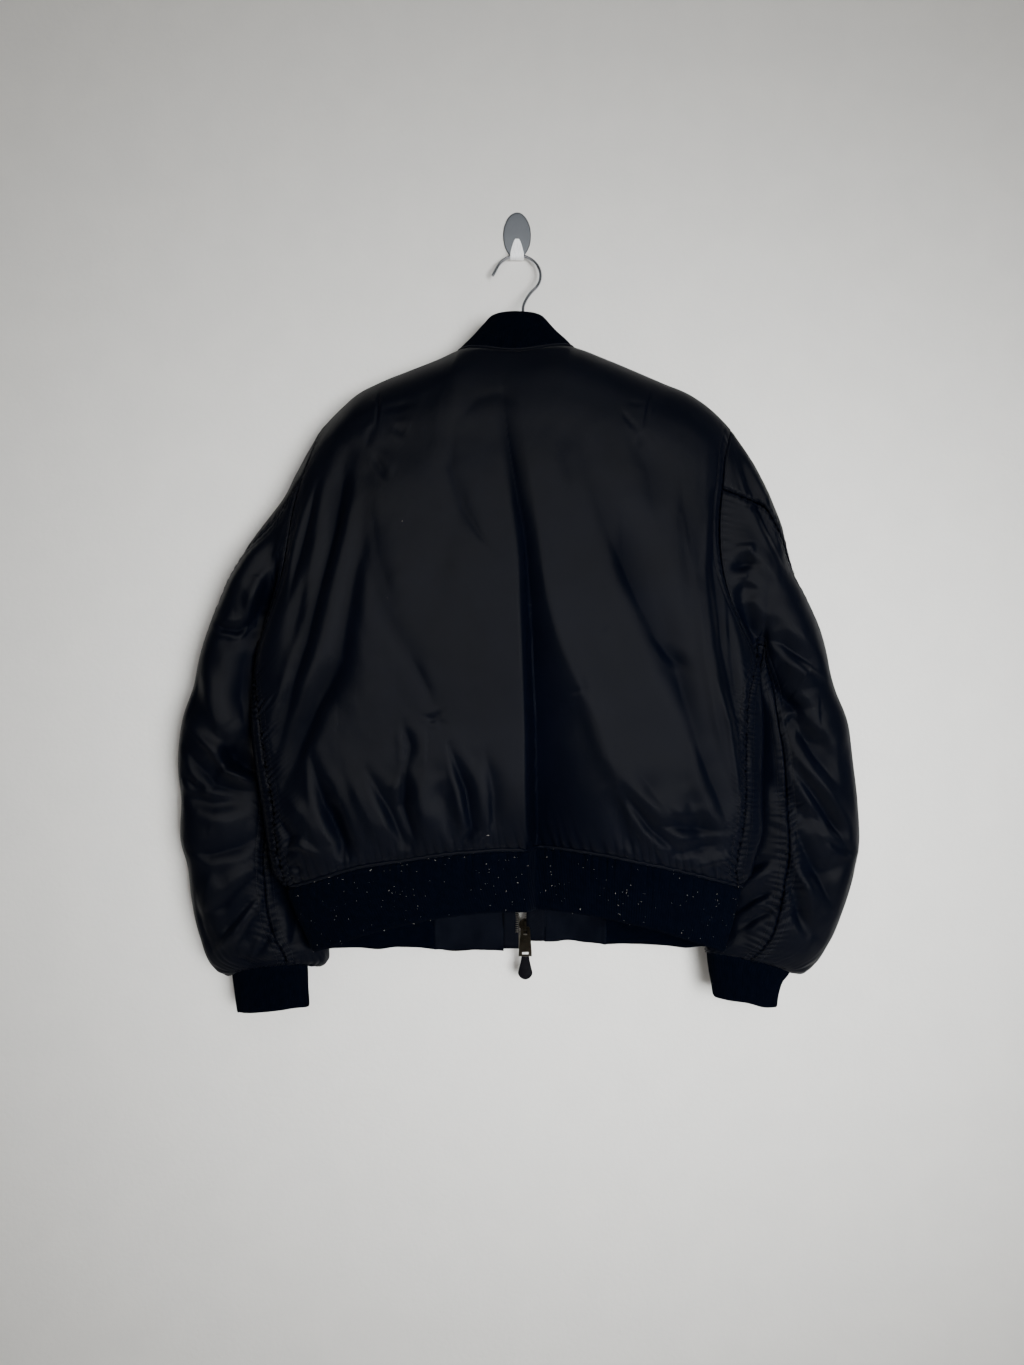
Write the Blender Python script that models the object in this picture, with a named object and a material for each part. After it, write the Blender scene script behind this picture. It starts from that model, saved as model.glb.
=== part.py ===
"""Satin flight jacket on a hanger, hung from an oval steel wall hook.

Frame: the origin is the centre of the wall plate's back face, +X points to the right
of someone who faces the wall, +Y points into the wall and +Z points up. The jacket's
back faces -Y. Lengths are millimetres here; make_mesh turns them into metres.
"""
import bpy
import bmesh
import numpy as np

MM = 0.001

# ---- driving dimensions -------------------------------------------------------------
CLOTH = 1.5            # satin, filling and lining pressed flat at the wall
RIB = 2.6              # folded rib knit of collar, cuffs and hem band
SEAM_GAP = 0.4         # free space left at every seam
RIDGE_Y = -42.0        # depth of the hanger bar and of the shoulder seams
SHOULDER_Z = -262.0    # height of the shoulder points
HEM_Z = -828.0         # height of the hem seam at the sides
HEM_BOTTOM_Z = -908.0  # height of the hem band's lower edge at the sides
UNDERARM_Z = -543.0
NECK_X, NECK_HALF = -1.5, 72.5
NECK_BACK_DEPTH, NECK_FRONT_DEPTH = 20.0, 22.0
NECK_BACK_DROP, NECK_FRONT_DROP = 6.0, 75.0
BACK_POWER = 0.6       # how blunt the body's ring is behind; in front, see BODY
BACK_HEM_RISE, FRONT_HEM_DROP = 48.0, 14.0
BACK_BOTTOM_RISE = 55.0
FRONT_BOTTOM_DROP = {-1: 11.0, 1: 1.0}      # left and right front, below the sides
SHOULDER_ROLL = 0.12   # share of the body's height in which the shoulders round over
FRONT_EDGE_X = {-1: -17.0, 1: 35.0}         # where each front ends beside the zip
TAPE_EDGE_X = {-1: -2.0, 1: 18.2}           # free edge of each zip tape
RIB_END_X = {-1: -104.0, 1: 112.0}          # where the hem's rib gives way to satin
COLLAR_END_X = {-1: -14.0, 1: 24.0}
GATHER_PITCH, GATHER_HEIGHT, GATHER_REACH = 10.4, 1.5, 8.0
END_INSET = 0.0004     # share of the body's height kept free at its top and hem seams


def table(names, rows):
    """Named columns, one row for each section."""
    return dict(zip(names.split(), np.array(rows, float).T))


SHOULDER_LINE = table("x z", [
    (-258, -275), (-246, -262), (-235, -250), (-218, -233), (-202, -219), (-174, -204),
    (-137, -189), (-99, -174), (-74, -163), (-1.5, -162), (71, -159), (112, -174),
    (148, -189), (183, -204), (218, -219), (241, -235), (258, -251), (268, -262),
    (280, -275)])

# edge: outermost X of the body's ring; seam: armhole seam, then side seam below it
BODY = table("z edge_left edge_right seam_left seam_right y_side back front power", [
    (-262, -258, 280, -246, 268, -42, 26, 26, 0.6),
    (-300, -270, 270, -256, 257.6, -46, 33, 31, 0.6),
    (-330, -280, 266, -266, 254, -49, 37, 34, 0.6),
    (-370, -290, 262, -276, 249, -52, 40, 37, 0.6),
    (-407, -295, 261, -281, 247.5, -55, 43, 40, 0.62),
    (-452, -302, 266, -289, 252, -58, 45, 43, 0.68),
    (-492, -311, 276, -302, 265, -61, 46, 46, 0.78),
    (-516, -316, 285, -311, 277, -63, 46, 48, 0.88),
    (-543, -321, 295, -319, 292, -66, 45, 50, 1.0),
    (-575, -324, 299, -320, 286, -68, 45, 51, 1.12),
    (-600, -326, 301, -316, 280, -69, 45, 52, 1.2),
    (-640, -325, 302, -311, 277, -70, 45, 53, 1.2),
    (-683, -320, 301, -305, 276, -71, 45, 54, 1.2),
    (-723, -313, 299, -297, 275, -73, 46, 55, 1.2),
    (-767, -306, 297, -292, 270, -75, 46, 56, 1.2),
    (-795, -301, 289, -288, 265, -76, 44, 56, 1.2),
    (-815, -294, 283, -283, 263, -77, 40, 55, 1.2),
    (-828, -281, 273, -278, 268, -76, 36, 54, 1.2)])

HEM = table("s edge_left edge_right y_side back front power", [
    (0, -281, 273, -76, 36, 54, 1.2),
    (0.5, -267, 264, -76, 37, 54, 1.2),
    (1, -250, 254, -74, 35, 52, 1.2)])
RING_COLUMNS = ("edge_left", "edge_right", "y_side", "back", "front", "power")

COLLAR_TOP = table("angle z", [
    (0, -117), (45, -119), (70, -122), (90, -129), (120, -150), (150, -178), (180, -200)])
COLLAR_TOP_HALF, COLLAR_TOP_Y, COLLAR_TOP_DEPTH = 36.0, -38.0, 18.0

SLEEVE_COLUMNS = "outer_x outer_z inner_x inner_z y_outer y_inner depth"
SLEEVE = {
    -1: table(SLEEVE_COLUMNS, [
        (-273, -310, -330, -552, -43, -64, 24), (-297, -355, -334, -563, -44, -54, 29),
        (-341, -416, -331, -581, -46, -43, 32), (-371, -476, -318, -606, -48, -34, 33),
        (-392, -536, -308, -632, -50, -29, 33), (-402, -581, -301, -660, -51, -27, 33),
        (-416, -626, -296, -693, -52, -26, 33), (-422, -676, -293, -728, -52, -26, 33),
        (-417, -731, -291, -765, -52, -27, 33), (-417, -776, -289, -800, -51, -28, 33),
        (-410, -806, -284, -826, -50, -30, 33), (-405, -851, -273, -857, -49, -32, 32),
        (-396, -897, -256, -889, -48, -34, 30), (-380, -937, -240, -914, -45, -38, 25),
        (-354, -947, -262, -938, -42, -40, 17)]),
    1: table(SLEEVE_COLUMNS, [
        (299, -310, 304, -552, -44, -64, 24), (325, -370, 309, -563, -45, -54, 29),
        (340, -428, 306, -581, -46, -43, 32), (362, -476, 292, -600, -47, -35, 33),
        (380, -521, 285, -622, -48, -31, 33), (395, -581, 280, -653, -48, -29, 33),
        (412, -626, 277, -690, -48, -29, 33), (418, -671, 276, -727, -48, -29, 33),
        (425, -731, 274, -765, -48, -29, 33), (427, -776, 271, -800, -48, -30, 33),
        (418, -821, 267, -830, -48, -31, 33), (405, -866, 261, -861, -47, -33, 32),
        (392, -901, 252, -888, -46, -35, 30), (369, -934, 240, -911, -44, -38, 25),
        (338, -943, 238, -919, -42, -40, 17)])}

# angle of the two sleeve seams round the sleeve: 0 is outside, 90 faces -Y
SLEEVE_SEAMS = table("s upper lower", [
    (0, 60, 180), (0.12, 30, 140), (0.25, 0, 115), (0.4, -30, 103), (0.6, -55, 98),
    (0.8, -70, 96), (1, -80, 95)])
SLEEVE_GATHERS_FROM = 0.56

CUFF = {
    -1: table("s outer_x outer_z inner_x inner_z depth", [
        (0, -354, -947, -262, -938, 17), (0.25, -356, -960, -259, -949, 17),
        (1, -348, -995, -260, -984, 14)]),
    1: table("s outer_x outer_z inner_x inner_z depth", [
        (0, 338, -943, 238, -919, 17), (0.25, 337, -955, 237, -929, 17),
        (1, 327, -983, 245, -969, 14)])}
CUFF_Y = -41.0

# soft folds: X, Z along the fold, then its half width and height (hollows negative)
BACK_FOLDS = [
    ([(-10, -230), (8, -330), (22, -450), (30, -600), (34, -760)], 34, -9),
    ([(-206, -300), (-215, -350), (-236, -420), (-262, -500), (-272, -560)], 13, -6),
    ([(-184, -330), (-192, -420), (-212, -520), (-244, -620), (-272, -700)], 15, -5),
    ([(-60, -290), (-40, -360), (-16, -440)], 16, -4),
    ([(128, -350), (160, -450), (190, -560), (196, -640)], 20, -5),
    ([(-228, -715), (-214, -760), (-196, -798)], 13, -7),
    ([(-150, -700), (-140, -740), (-128, -790)], 15, -5),
    ([(-95, -690), (-78, -740), (-62, -782)], 13, -5),
    ([(110, -700), (124, -745), (140, -790)], 15, -5),
    ([(200, -700), (216, -750), (232, -800)], 13, -5)]
FRONT_FOLDS = [
    ([(-120, -300), (-134, -440), (-150, -600), (-158, -740)], 26, -6),
    ([(128, -300), (140, -440), (160, -600), (170, -740)], 26, -6),
    ([(-210, -640), (-196, -720), (-180, -800)], 14, -5),
    ([(206, -640), (192, -720), (178, -800)], 14, -5),
    ([(-84, -720), (-76, -790)], 13, -4),
    ([(92, -720), (84, -790)], 13, -4)]
SLEEVE_FOLDS = {
    (-1, "back"): [
        ([(-297, -440), (-303, -480), (-318, -512), (-352, -528)], 15, -11),
        ([(-322, -640), (-345, -672), (-385, -690)], 13, -8),
        ([(-330, -720), (-372, -728), (-415, -716)], 12, -6),
        ([(-318, -842), (-345, -872), (-372, -888)], 12, -6),
        ([(-300, -862), (-322, -896), (-338, -918)], 11, -6)],
    (-1, "front"): [
        ([(-300, -450), (-330, -520), (-345, -600)], 16, -7),
        ([(-400, -660), (-350, -690), (-305, -720)], 14, -8),
        ([(-400, -820), (-340, -850), (-290, -890)], 13, -6)],
    (1, "back"): [
        ([(276, -440), (272, -480), (284, -520), (310, -560)], 14, -9),
        ([(302, -300), (320, -345), (326, -390)], 10, -4),
        ([(300, -590), (352, -640), (400, -668)], 16, -6),
        ([(310, -700), (352, -742), (398, -760)], 13, -6),
        ([(330, -800), (372, -812), (412, -800)], 12, -5),
        ([(330, -850), (360, -880), (384, -908)], 11, -6)],
    (1, "front"): [
        ([(280, -450), (310, -520), (330, -600)], 16, -7),
        ([(400, -660), (350, -690), (300, -720)], 14, -8),
        ([(400, -820), (340, -850), (290, -890)], 13, -6)]}

COLOURS = {
    "satin": ((0.012, 0.013, 0.017, 1), 0.38, 0.0),
    "rib": ((0.008, 0.009, 0.013, 1), 0.95, 0.0),
    "tape": ((0.010, 0.010, 0.012, 1), 0.9, 0.0),
    "brass": ((0.42, 0.36, 0.26, 1), 0.35, 1.0),
    "chrome": ((0.62, 0.63, 0.65, 1), 0.15, 1.0),
    "steel": ((0.42, 0.45, 0.50, 1), 0.35, 1.0),
    "wood": ((0.28, 0.17, 0.09, 1), 0.5, 0.0),
    "tab": ((0.010, 0.010, 0.011, 1), 0.5, 0.0)}


# ---- curves and blends ----------------------------------------------------------------
def spline(xs, ys, x):
    """Smooth curve through the points (xs, ys), read at x."""
    xs = np.asarray(xs, float)
    ys = np.asarray(ys, float)
    slope = np.gradient(ys, xs)
    i = np.clip(np.searchsorted(xs, x, side="right") - 1, 0, len(xs) - 2)
    step = xs[i + 1] - xs[i]
    q = np.clip((x - xs[i]) / step, 0, 1)
    return ((2 * q**3 - 3 * q**2 + 1) * ys[i] + (q**3 - 2 * q**2 + q) * step * slope[i]
            + (3 * q**2 - 2 * q**3) * ys[i + 1] + (q**3 - q**2) * step * slope[i + 1])


def ease(q):
    q = np.clip(q, 0, 1)
    return q * q * (3 - 2 * q)


def mix(a, b, q):
    return a + (b - a) * q


def folds(x, z, rows):
    """Height of the soft folds at X, Z: a rounded trough along each fold's own line."""
    height = np.zeros_like(x)
    for points, half_width, depth in rows:
        points = np.array(points, float)
        lengths = np.linalg.norm(np.diff(points, axis=0), axis=1)
        start = np.concatenate(([0], np.cumsum(lengths)))
        nearest = np.full(x.shape, 1e9)
        along = np.zeros_like(x)
        for k, length in enumerate(lengths):
            (ax, az), (bx, bz) = points[k], points[k + 1]
            q = np.clip(((x - ax) * (bx - ax) + (z - az) * (bz - az)) / length**2, 0, 1)
            gap = np.hypot(x - ax - q * (bx - ax), z - az - q * (bz - az))
            closer = gap < nearest
            nearest = np.where(closer, gap, nearest)
            along = np.where(closer, (start[k] + q * length) / start[-1], along)
        ends = ease(along / 0.3) * ease((1 - along) / 0.3)
        height += depth * np.exp(-(nearest / half_width) ** 2) * (0.25 + 0.75 * ends)
    return height


def gathers(from_seam, along):
    """Small pleats square to a seam that draws the cloth up."""
    wave = np.sin(2 * np.pi * along / GATHER_PITCH)
    return GATHER_HEIGHT * wave * np.exp(-(from_seam / GATHER_REACH) ** 2)


def normals(surface, a, b, step_a, step_b):
    """Unit normals of surface(a, b), by central differences kept inside its range."""
    along_a = surface(a + step_a, b) - surface(a - step_a, b)
    along_b = surface(a, np.clip(b + step_b, 0, 1)) - surface(a, np.clip(b - step_b, 0, 1))
    out = np.cross(along_a, along_b)
    return out / np.linalg.norm(out, axis=-1, keepdims=True)


# ---- body ---------------------------------------------------------------------------
BODY_T = (SHOULDER_Z - BODY["z"]) / (SHOULDER_Z - HEM_Z)
UNDERARM_T = (SHOULDER_Z - UNDERARM_Z) / (SHOULDER_Z - HEM_Z)


def body(name, t):
    return spline(BODY_T, BODY[name], t)


def ring_point(angle, left, right, y_side, back, front, power):
    """Point of a flattened ring: angle 0 is the middle of the back, 90 the right side."""
    sine, cosine = np.sin(np.radians(angle)), np.cos(np.radians(angle))
    x = (left + right) / 2 + (right - left) / 2 * sine
    size = np.abs(cosine)
    y = y_side + np.where(cosine >= 0, -back * size**BACK_POWER, front * size**power)
    return x, y, sine, cosine


def neck_line(x, behind):
    """Y and Z of the shoulder seam at X, and of the neckline between its ends."""
    inside = np.sqrt(np.clip(1 - ((x - NECK_X) / NECK_HALF) ** 2, 0, 1))
    y = RIDGE_Y + np.where(behind, -NECK_BACK_DEPTH, NECK_FRONT_DEPTH) * inside
    drop = np.where(behind, NECK_BACK_DROP, NECK_FRONT_DROP) * inside**2
    return y, spline(SHOULDER_LINE["x"], SHOULDER_LINE["z"], x) - drop


def hem_seam_z(cosine):
    return HEM_Z + np.where(cosine >= 0, BACK_HEM_RISE, -FRONT_HEM_DROP) * cosine**2


def body_base(angle, t):
    """The body's outer surface without folds, from the shoulders (t 0) to the hem (t 1)."""
    x, ring_y, sine, cosine = ring_point(angle, *(body(name, t) for name in RING_COLUMNS))
    left, right = BODY["edge_left"][0], BODY["edge_right"][0]
    top_x = (left + right) / 2 + (right - left) / 2 * sine
    top_y, top_z = neck_line(top_x, cosine >= 0)
    over = np.sqrt(1 - (1 - np.clip(t / SHOULDER_ROLL, 0, 1)) ** 2)
    z = (mix(SHOULDER_Z, HEM_Z, t) + (top_z - SHOULDER_Z) * (1 - t)
         + (hem_seam_z(cosine) - HEM_Z) * t)
    return np.stack(np.broadcast_arrays(x, mix(top_y, ring_y, over), z), axis=-1)


def seam_angle(side, t):
    """Angle of the armhole seam behind, and of the side seam below the underarm."""
    left, right = body("edge_left", t), body("edge_right", t)
    seam = body("seam_right" if side > 0 else "seam_left", t)
    share = (seam - (left + right) / 2) / ((right - left) / 2) * side
    return np.degrees(np.arcsin(np.clip(share, -1, 0.9985)))


def front_start_angle(side, t):
    """Angle where the front begins: the armhole's front edge, then the side seam."""
    behind = seam_angle(side, t)
    above = np.clip((UNDERARM_T - t) * (SHOULDER_Z - HEM_Z) / 50, 0, 1)
    return mix(behind, 180 - behind, np.sqrt(1 - (1 - above) ** 2))


def front_end_angle(side, x_end, left, right):
    share = (x_end - (left + right) / 2) / ((right - left) / 2) * side
    return 180 - np.degrees(np.arcsin(share))


def body_wall(angle, t, side):
    """Outer and inner points of the body's wall with its folds and gathers."""
    base = body_base(angle, t)
    normal = -normals(body_base, angle, t, 0.3, 0.0008)
    top_row = t <= END_INSET
    normal[top_row, 1] = 0
    normal /= np.linalg.norm(normal, axis=-1, keepdims=True)
    x, z = base[..., 0], base[..., 2]
    behind = np.abs(angle) < 90
    height = np.where(behind, folds(x, z, BACK_FOLDS), folds(x, z, FRONT_FOLDS))
    height *= ease(t / 0.08) * ease((1 - t) / 0.03)
    below = ease((t - UNDERARM_T) / 0.05) * ease((1 - t) / 0.02)
    for at_side in (-1, 1) if side == 0 else (side,):
        away = np.radians(np.abs(angle * at_side - seam_angle(at_side, t))) * 100
        height += gathers(away, t * (SHOULDER_Z - HEM_Z)) * below
    outer = base + normal * height[..., None]
    return outer, outer - normal * CLOTH


# ---- sleeves --------------------------------------------------------------------------
def armhole_point(side, angle):
    """The armhole's edge on the body, by the angle round the sleeve."""
    t = UNDERARM_T * (1 - np.cos(np.radians(angle))) / 2
    behind = np.sin(np.radians(angle)) >= 0
    at = np.where(behind, seam_angle(side, t), front_start_angle(side, t))
    return body_base(side * at, t)


def sleeve_ring(rings, k, angle):
    """Ring k of a sleeve, a flattened ellipse between its outer and inner points."""
    outer = np.array([rings["outer_x"][k], rings["y_outer"][k], rings["outer_z"][k]])
    inner = np.array([rings["inner_x"][k], rings["y_inner"][k], rings["inner_z"][k]])
    cosine, sine = np.cos(np.radians(angle)), np.sin(np.radians(angle))
    points = (outer + inner) / 2 + cosine[..., None] * (outer - inner) / 2
    points[..., 1] -= rings["depth"][k] * sine
    return points


def sleeve_stations(side):
    """Share of the sleeve's length at each of its rings, the armhole's first."""
    rings = SLEEVE[side]
    angle = np.array([0.0, 90.0, 180.0, 270.0])
    loops = [armhole_point(side, angle)]
    loops += [sleeve_ring(rings, k, angle) for k in range(len(rings["depth"]))]
    steps = [np.linalg.norm(b - a, axis=-1).mean() for a, b in zip(loops, loops[1:])]
    reach = np.concatenate(([0], np.cumsum(steps)))
    return reach / reach[-1], reach[-1]


def sleeve_base(side, angle, s):
    """The sleeve's outer surface without folds, from armhole (s 0) to cuff (s 1)."""
    rings = SLEEVE[side]
    angle, s = np.broadcast_arrays(np.asarray(angle, float), np.asarray(s, float))
    stations, _ = sleeve_stations(side)
    loops = [armhole_point(side, angle)]
    loops += [sleeve_ring(rings, k, angle) for k in range(len(rings["depth"]))]
    loops = np.array(loops)
    wide = stations.reshape((-1,) + (1,) * (loops.ndim - 1))
    slopes = np.gradient(loops, stations, axis=0)
    i = np.clip(np.searchsorted(stations, s, side="right") - 1, 0, len(stations) - 2)
    pick = np.broadcast_to(i[None, ..., None], (1,) + i.shape + (3,))
    here, there = (np.take_along_axis(loops, pick + d, 0)[0] for d in (0, 1))
    rise, fall = (np.take_along_axis(slopes, pick + d, 0)[0] for d in (0, 1))
    step = (wide.ravel()[i + 1] - wide.ravel()[i])[..., None]
    q = ((s - stations[i]))[..., None] / step
    return ((2 * q**3 - 3 * q**2 + 1) * here + (q**3 - 2 * q**2 + q) * step * rise
            + (3 * q**2 - 2 * q**3) * there + (q**3 - q**2) * step * fall)


def sleeve_wall(side, angle, s):
    """Outer and inner points of a sleeve's wall with its folds and gathers."""
    def surface(a, b):
        return sleeve_base(side, a, b)
    base = surface(angle, s)
    normal = normals(surface, angle, s, 1.0, 0.002) * side
    x, z = base[..., 0], base[..., 2]
    behind = np.sin(np.radians(angle)) >= 0
    height = np.where(behind, folds(x, z, SLEEVE_FOLDS[side, "back"]),
                      folds(x, z, SLEEVE_FOLDS[side, "front"]))
    height *= ease(s / 0.08) * ease((1 - s) / 0.04) * np.abs(np.sin(np.radians(angle))) ** 0.5
    _, length = sleeve_stations(side)
    away = (np.asarray(angle) - spline(SLEEVE_SEAMS["s"], SLEEVE_SEAMS["lower"], s)) % 360
    away = np.radians(np.minimum(away, 360 - away)) * 65
    height += gathers(away, s * length) * ease((s - SLEEVE_GATHERS_FROM) / 0.06) * ease(
        (1 - s) / 0.02)
    outer = base + normal * height[..., None]
    return outer, outer - normal * CLOTH


# ---- rib trims ------------------------------------------------------------------------
def hem_base(angle, s):
    """The hem band's outer surface, from its seam (s 0) to its lower edge (s 1)."""
    x, y, _, cosine = ring_point(angle, *(spline(HEM["s"], HEM[name], s)
                                          for name in RING_COLUMNS))
    drop = np.where(np.asarray(angle) > 0, FRONT_BOTTOM_DROP[1], FRONT_BOTTOM_DROP[-1])
    bottom = HEM_BOTTOM_Z + np.where(cosine >= 0, BACK_BOTTOM_RISE, -drop) * cosine**2
    return np.stack(np.broadcast_arrays(x, y, mix(hem_seam_z(cosine), bottom, s)), axis=-1)


def collar_base(angle, s):
    """The collar's outer surface, from the neck seam (s 0) to its free edge (s 1)."""
    sine, cosine = np.sin(np.radians(angle)), np.cos(np.radians(angle))
    low_x = NECK_X + NECK_HALF * sine
    low_y, low_z = neck_line(low_x, cosine >= 0)
    top_x = NECK_X + COLLAR_TOP_HALF * sine
    top_y = COLLAR_TOP_Y - COLLAR_TOP_DEPTH * cosine
    top_z = spline(COLLAR_TOP["angle"], COLLAR_TOP["z"], np.abs(angle))
    return np.stack(np.broadcast_arrays(
        mix(low_x, top_x, s), mix(low_y, top_y, s), mix(low_z + SEAM_GAP, top_z, s)), axis=-1)


def cuff_base(side, angle, s):
    rings = CUFF[side]
    outer_x, outer_z, inner_x, inner_z, depth = (
        spline(rings["s"], rings[name], s)
        for name in ("outer_x", "outer_z", "inner_x", "inner_z", "depth"))
    cosine, sine = np.cos(np.radians(angle)), np.sin(np.radians(angle))
    x = (outer_x + inner_x) / 2 + cosine * (outer_x - inner_x) / 2
    z = (outer_z + inner_z) / 2 + cosine * (outer_z - inner_z) / 2
    return np.stack(np.broadcast_arrays(x, CUFF_Y - depth * sine, z), axis=-1)


# ---- meshes ---------------------------------------------------------------------------
def material(kind):
    found = bpy.data.materials.get(kind)
    if found:
        return found
    colour, roughness, metallic = COLOURS[kind]
    made = bpy.data.materials.new(kind)
    made.use_nodes = True
    shader = made.node_tree.nodes["Principled BSDF"]
    shader.inputs["Base Color"].default_value = colour
    shader.inputs["Roughness"].default_value = roughness
    shader.inputs["Metallic"].default_value = metallic
    return made


def make_mesh(name, points, faces, kind, origin=(0, 0, 0)):
    """One named object from points in millimetres, its faces turned outwards."""
    mesh = bpy.data.meshes.new(name)
    shifted = (np.array(points) - np.array(origin)) * MM
    mesh.from_pydata([tuple(p) for p in shifted], [], faces)
    work = bmesh.new()
    work.from_mesh(mesh)
    bmesh.ops.recalc_face_normals(work, faces=work.faces)
    work.to_mesh(mesh)
    work.free()
    mesh.materials.append(material(kind))
    mesh.shade_smooth()
    mesh.set_sharp_from_angle(angle=np.radians(50))
    made = bpy.data.objects.new(name, mesh)
    made.location = np.array(origin) * MM
    bpy.context.collection.objects.link(made)
    return made


def zip_columns(first, second, keys_first, keys_second):
    """Faces between two columns of points that may differ in number."""
    faces = []
    i = j = 0
    while i < len(first) - 1 or j < len(second) - 1:
        can_i, can_j = i < len(first) - 1, j < len(second) - 1
        if can_i and can_j and abs(keys_first[i + 1] - keys_second[j + 1]) < 1e-9:
            faces.append((first[i], second[j], second[j + 1], first[i + 1]))
            i, j = i + 1, j + 1
        elif can_i and (not can_j or keys_first[i + 1] < keys_second[j + 1]):
            faces.append((first[i], second[j], first[i + 1]))
            i += 1
        else:
            faces.append((first[i], second[j], second[j + 1]))
            j += 1
    return faces


def make_wall(name, kind, columns, closed=False):
    """A closed wall of cloth. Each column is (keys, outer points, inner points)."""
    points, outer, inner = [], [], []
    for _, outside, inside in columns:
        for skin, side in ((outer, outside), (inner, inside)):
            skin.append(list(range(len(points), len(points) + len(side))))
            points.extend(side)
    faces = []
    count = len(columns)
    for k in range(count if closed else count - 1):
        m = (k + 1) % count
        faces += zip_columns(outer[k], outer[m], columns[k][0], columns[m][0])
        back = zip_columns(inner[k], inner[m], columns[k][0], columns[m][0])
        faces += [tuple(reversed(face)) for face in back]
        faces.append((outer[k][0], outer[m][0], inner[m][0], inner[k][0]))
        faces.append((outer[k][-1], inner[k][-1], inner[m][-1], outer[m][-1]))
    if not closed:
        for k in (0, count - 1):
            for r in range(len(outer[k]) - 1):
                faces.append((outer[k][r], outer[k][r + 1], inner[k][r + 1], inner[k][r]))
    return make_mesh(name, points, faces, kind)


def base_wall(surface, a, b, step_a, step_b, thickness, sign):
    base = surface(a, b)
    return base, base - normals(surface, a, b, step_a, step_b) * thickness * sign


# ---- pieces of the jacket ---------------------------------------------------------------
ARMHOLE_STEPS = 9
BODY_TOP_T = UNDERARM_T * (1 - np.cos(np.pi * np.arange(ARMHOLE_STEPS + 1) / ARMHOLE_STEPS)) / 2
BODY_LOW_T = np.linspace(UNDERARM_T, 1, 16)[1:]
ROWS_T = np.concatenate((BODY_TOP_T, BODY_LOW_T))
GATHER_ROWS = int(round((1 - UNDERARM_T) * (SHOULDER_Z - HEM_Z) / GATHER_PITCH * 3))
FINE_T = np.concatenate((BODY_TOP_T, np.linspace(UNDERARM_T, 1, GATHER_ROWS + 1)[1:]))


def free_ends(t):
    return np.clip(t, END_INSET, 1 - END_INSET)


def neck_columns(side):
    """Angles round the neck of the front's columns, from its side to the zip."""
    end = 180 - np.degrees(np.arcsin(side * (COLLAR_END_X[side] - NECK_X) / NECK_HALF))
    return np.linspace(90, end, 5)


BACK_NECK_COLUMNS = np.linspace(-90, 90, 10)


def top_share(x, side, start, end):
    """Share of a panel's width at which its top edge passes X."""
    left, right = BODY["edge_left"][0], BODY["edge_right"][0]
    sine = (x - (left + right) / 2) / ((right - left) / 2)
    angle = np.degrees(np.arcsin(sine)) if side == 0 else 180 - np.degrees(np.arcsin(side * sine))
    return (angle - start) / (end - start)


def make_back():
    start, end = -seam_angle(-1, 0.0), seam_angle(1, 0.0)
    neck = top_share(NECK_X + NECK_HALF * np.sin(np.radians(BACK_NECK_COLUMNS)), 0, start, end)
    shares = np.concatenate(([0, 0.014], np.linspace(0.014, neck[0], 8)[1:-1], neck,
                             np.linspace(neck[-1], 0.986, 8)[1:], [1]))
    columns = []
    for share in shares:
        t = free_ends(FINE_T if share < 0.02 or share > 0.98 else ROWS_T)
        inset = 0.15
        angle = mix(-seam_angle(-1, t) + inset, seam_angle(1, t) - inset, share)
        columns.append((t, *body_wall(angle, t, 0)))
    return make_wall("back_panel", "satin", columns)


def make_front(side):
    start = front_start_angle(side, 0.0)
    end = front_end_angle(side, FRONT_EDGE_X[side], BODY["edge_left"][0], BODY["edge_right"][0])
    neck_x = NECK_X + side * NECK_HALF * np.sin(np.radians(neck_columns(side)))
    neck = top_share(neck_x, side, start, end)
    shares = np.concatenate(([0, 0.022, 0.075, 0.13, 0.19, 0.26], np.linspace(
        0.36, neck[0], 5)[:-1], neck[neck < 0.97], [1]))
    columns = []
    for share in shares:
        t = free_ends(FINE_T if share < 0.03 else ROWS_T)
        finish = front_end_angle(side, FRONT_EDGE_X[side], body("edge_left", t),
                                 body("edge_right", t))
        angle = mix(front_start_angle(side, t) + 0.15, finish, share)
        columns.append((t, *body_wall(side * angle, t, side)))
    return make_wall("front_" + ("right" if side > 0 else "left"), "satin", columns)


def make_sleeve(side, part):
    """The back part lies between the upper and lower seam, the front part beyond them."""
    _, length = sleeve_stations(side)
    coarse = np.concatenate(([0, 0.012, 0.035], np.linspace(0.07, 0.94, 15), [0.97, 1]))
    first = SLEEVE_GATHERS_FROM
    waves = int(round((1 - first) * length / GATHER_PITCH * 3))
    fine = np.concatenate((coarse[coarse < first], np.linspace(first, 1, waves + 1)))
    if part == "back":
        shares = np.concatenate((np.linspace(0, 1, 7)[:-1], [0.955, 1]))
    else:
        shares = np.concatenate(([0, 0.03], np.linspace(0, 1, 13)[1:]))
    columns = []
    for share in shares:
        near_gathers = share > 0.95 if part == "back" else share < 0.04
        s = np.clip(fine if near_gathers else coarse, 0, 0.9992)
        upper = spline(SLEEVE_SEAMS["s"], SLEEVE_SEAMS["upper"], s)
        lower = spline(SLEEVE_SEAMS["s"], SLEEVE_SEAMS["lower"], s)
        ends = (upper, lower) if part == "back" else (lower, upper + 360)
        lower_gap = 0.3 + 9 * ease(1 - s / 0.05)
        gaps = (0.3, lower_gap) if part == "back" else (lower_gap, 0.3)
        angle = mix(ends[0] + gaps[0], ends[1] - gaps[1], share)
        towards_underarm = (1 - np.cos(np.radians(angle[0]))) / 2
        free = np.maximum(s, 0.0014 + 0.011 * towards_underarm**2)
        columns.append((s, *sleeve_wall(side, angle, free)))
    name = ("sleeve_right_" if side > 0 else "sleeve_left_") + part
    return make_wall(name, "satin", columns)


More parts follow.
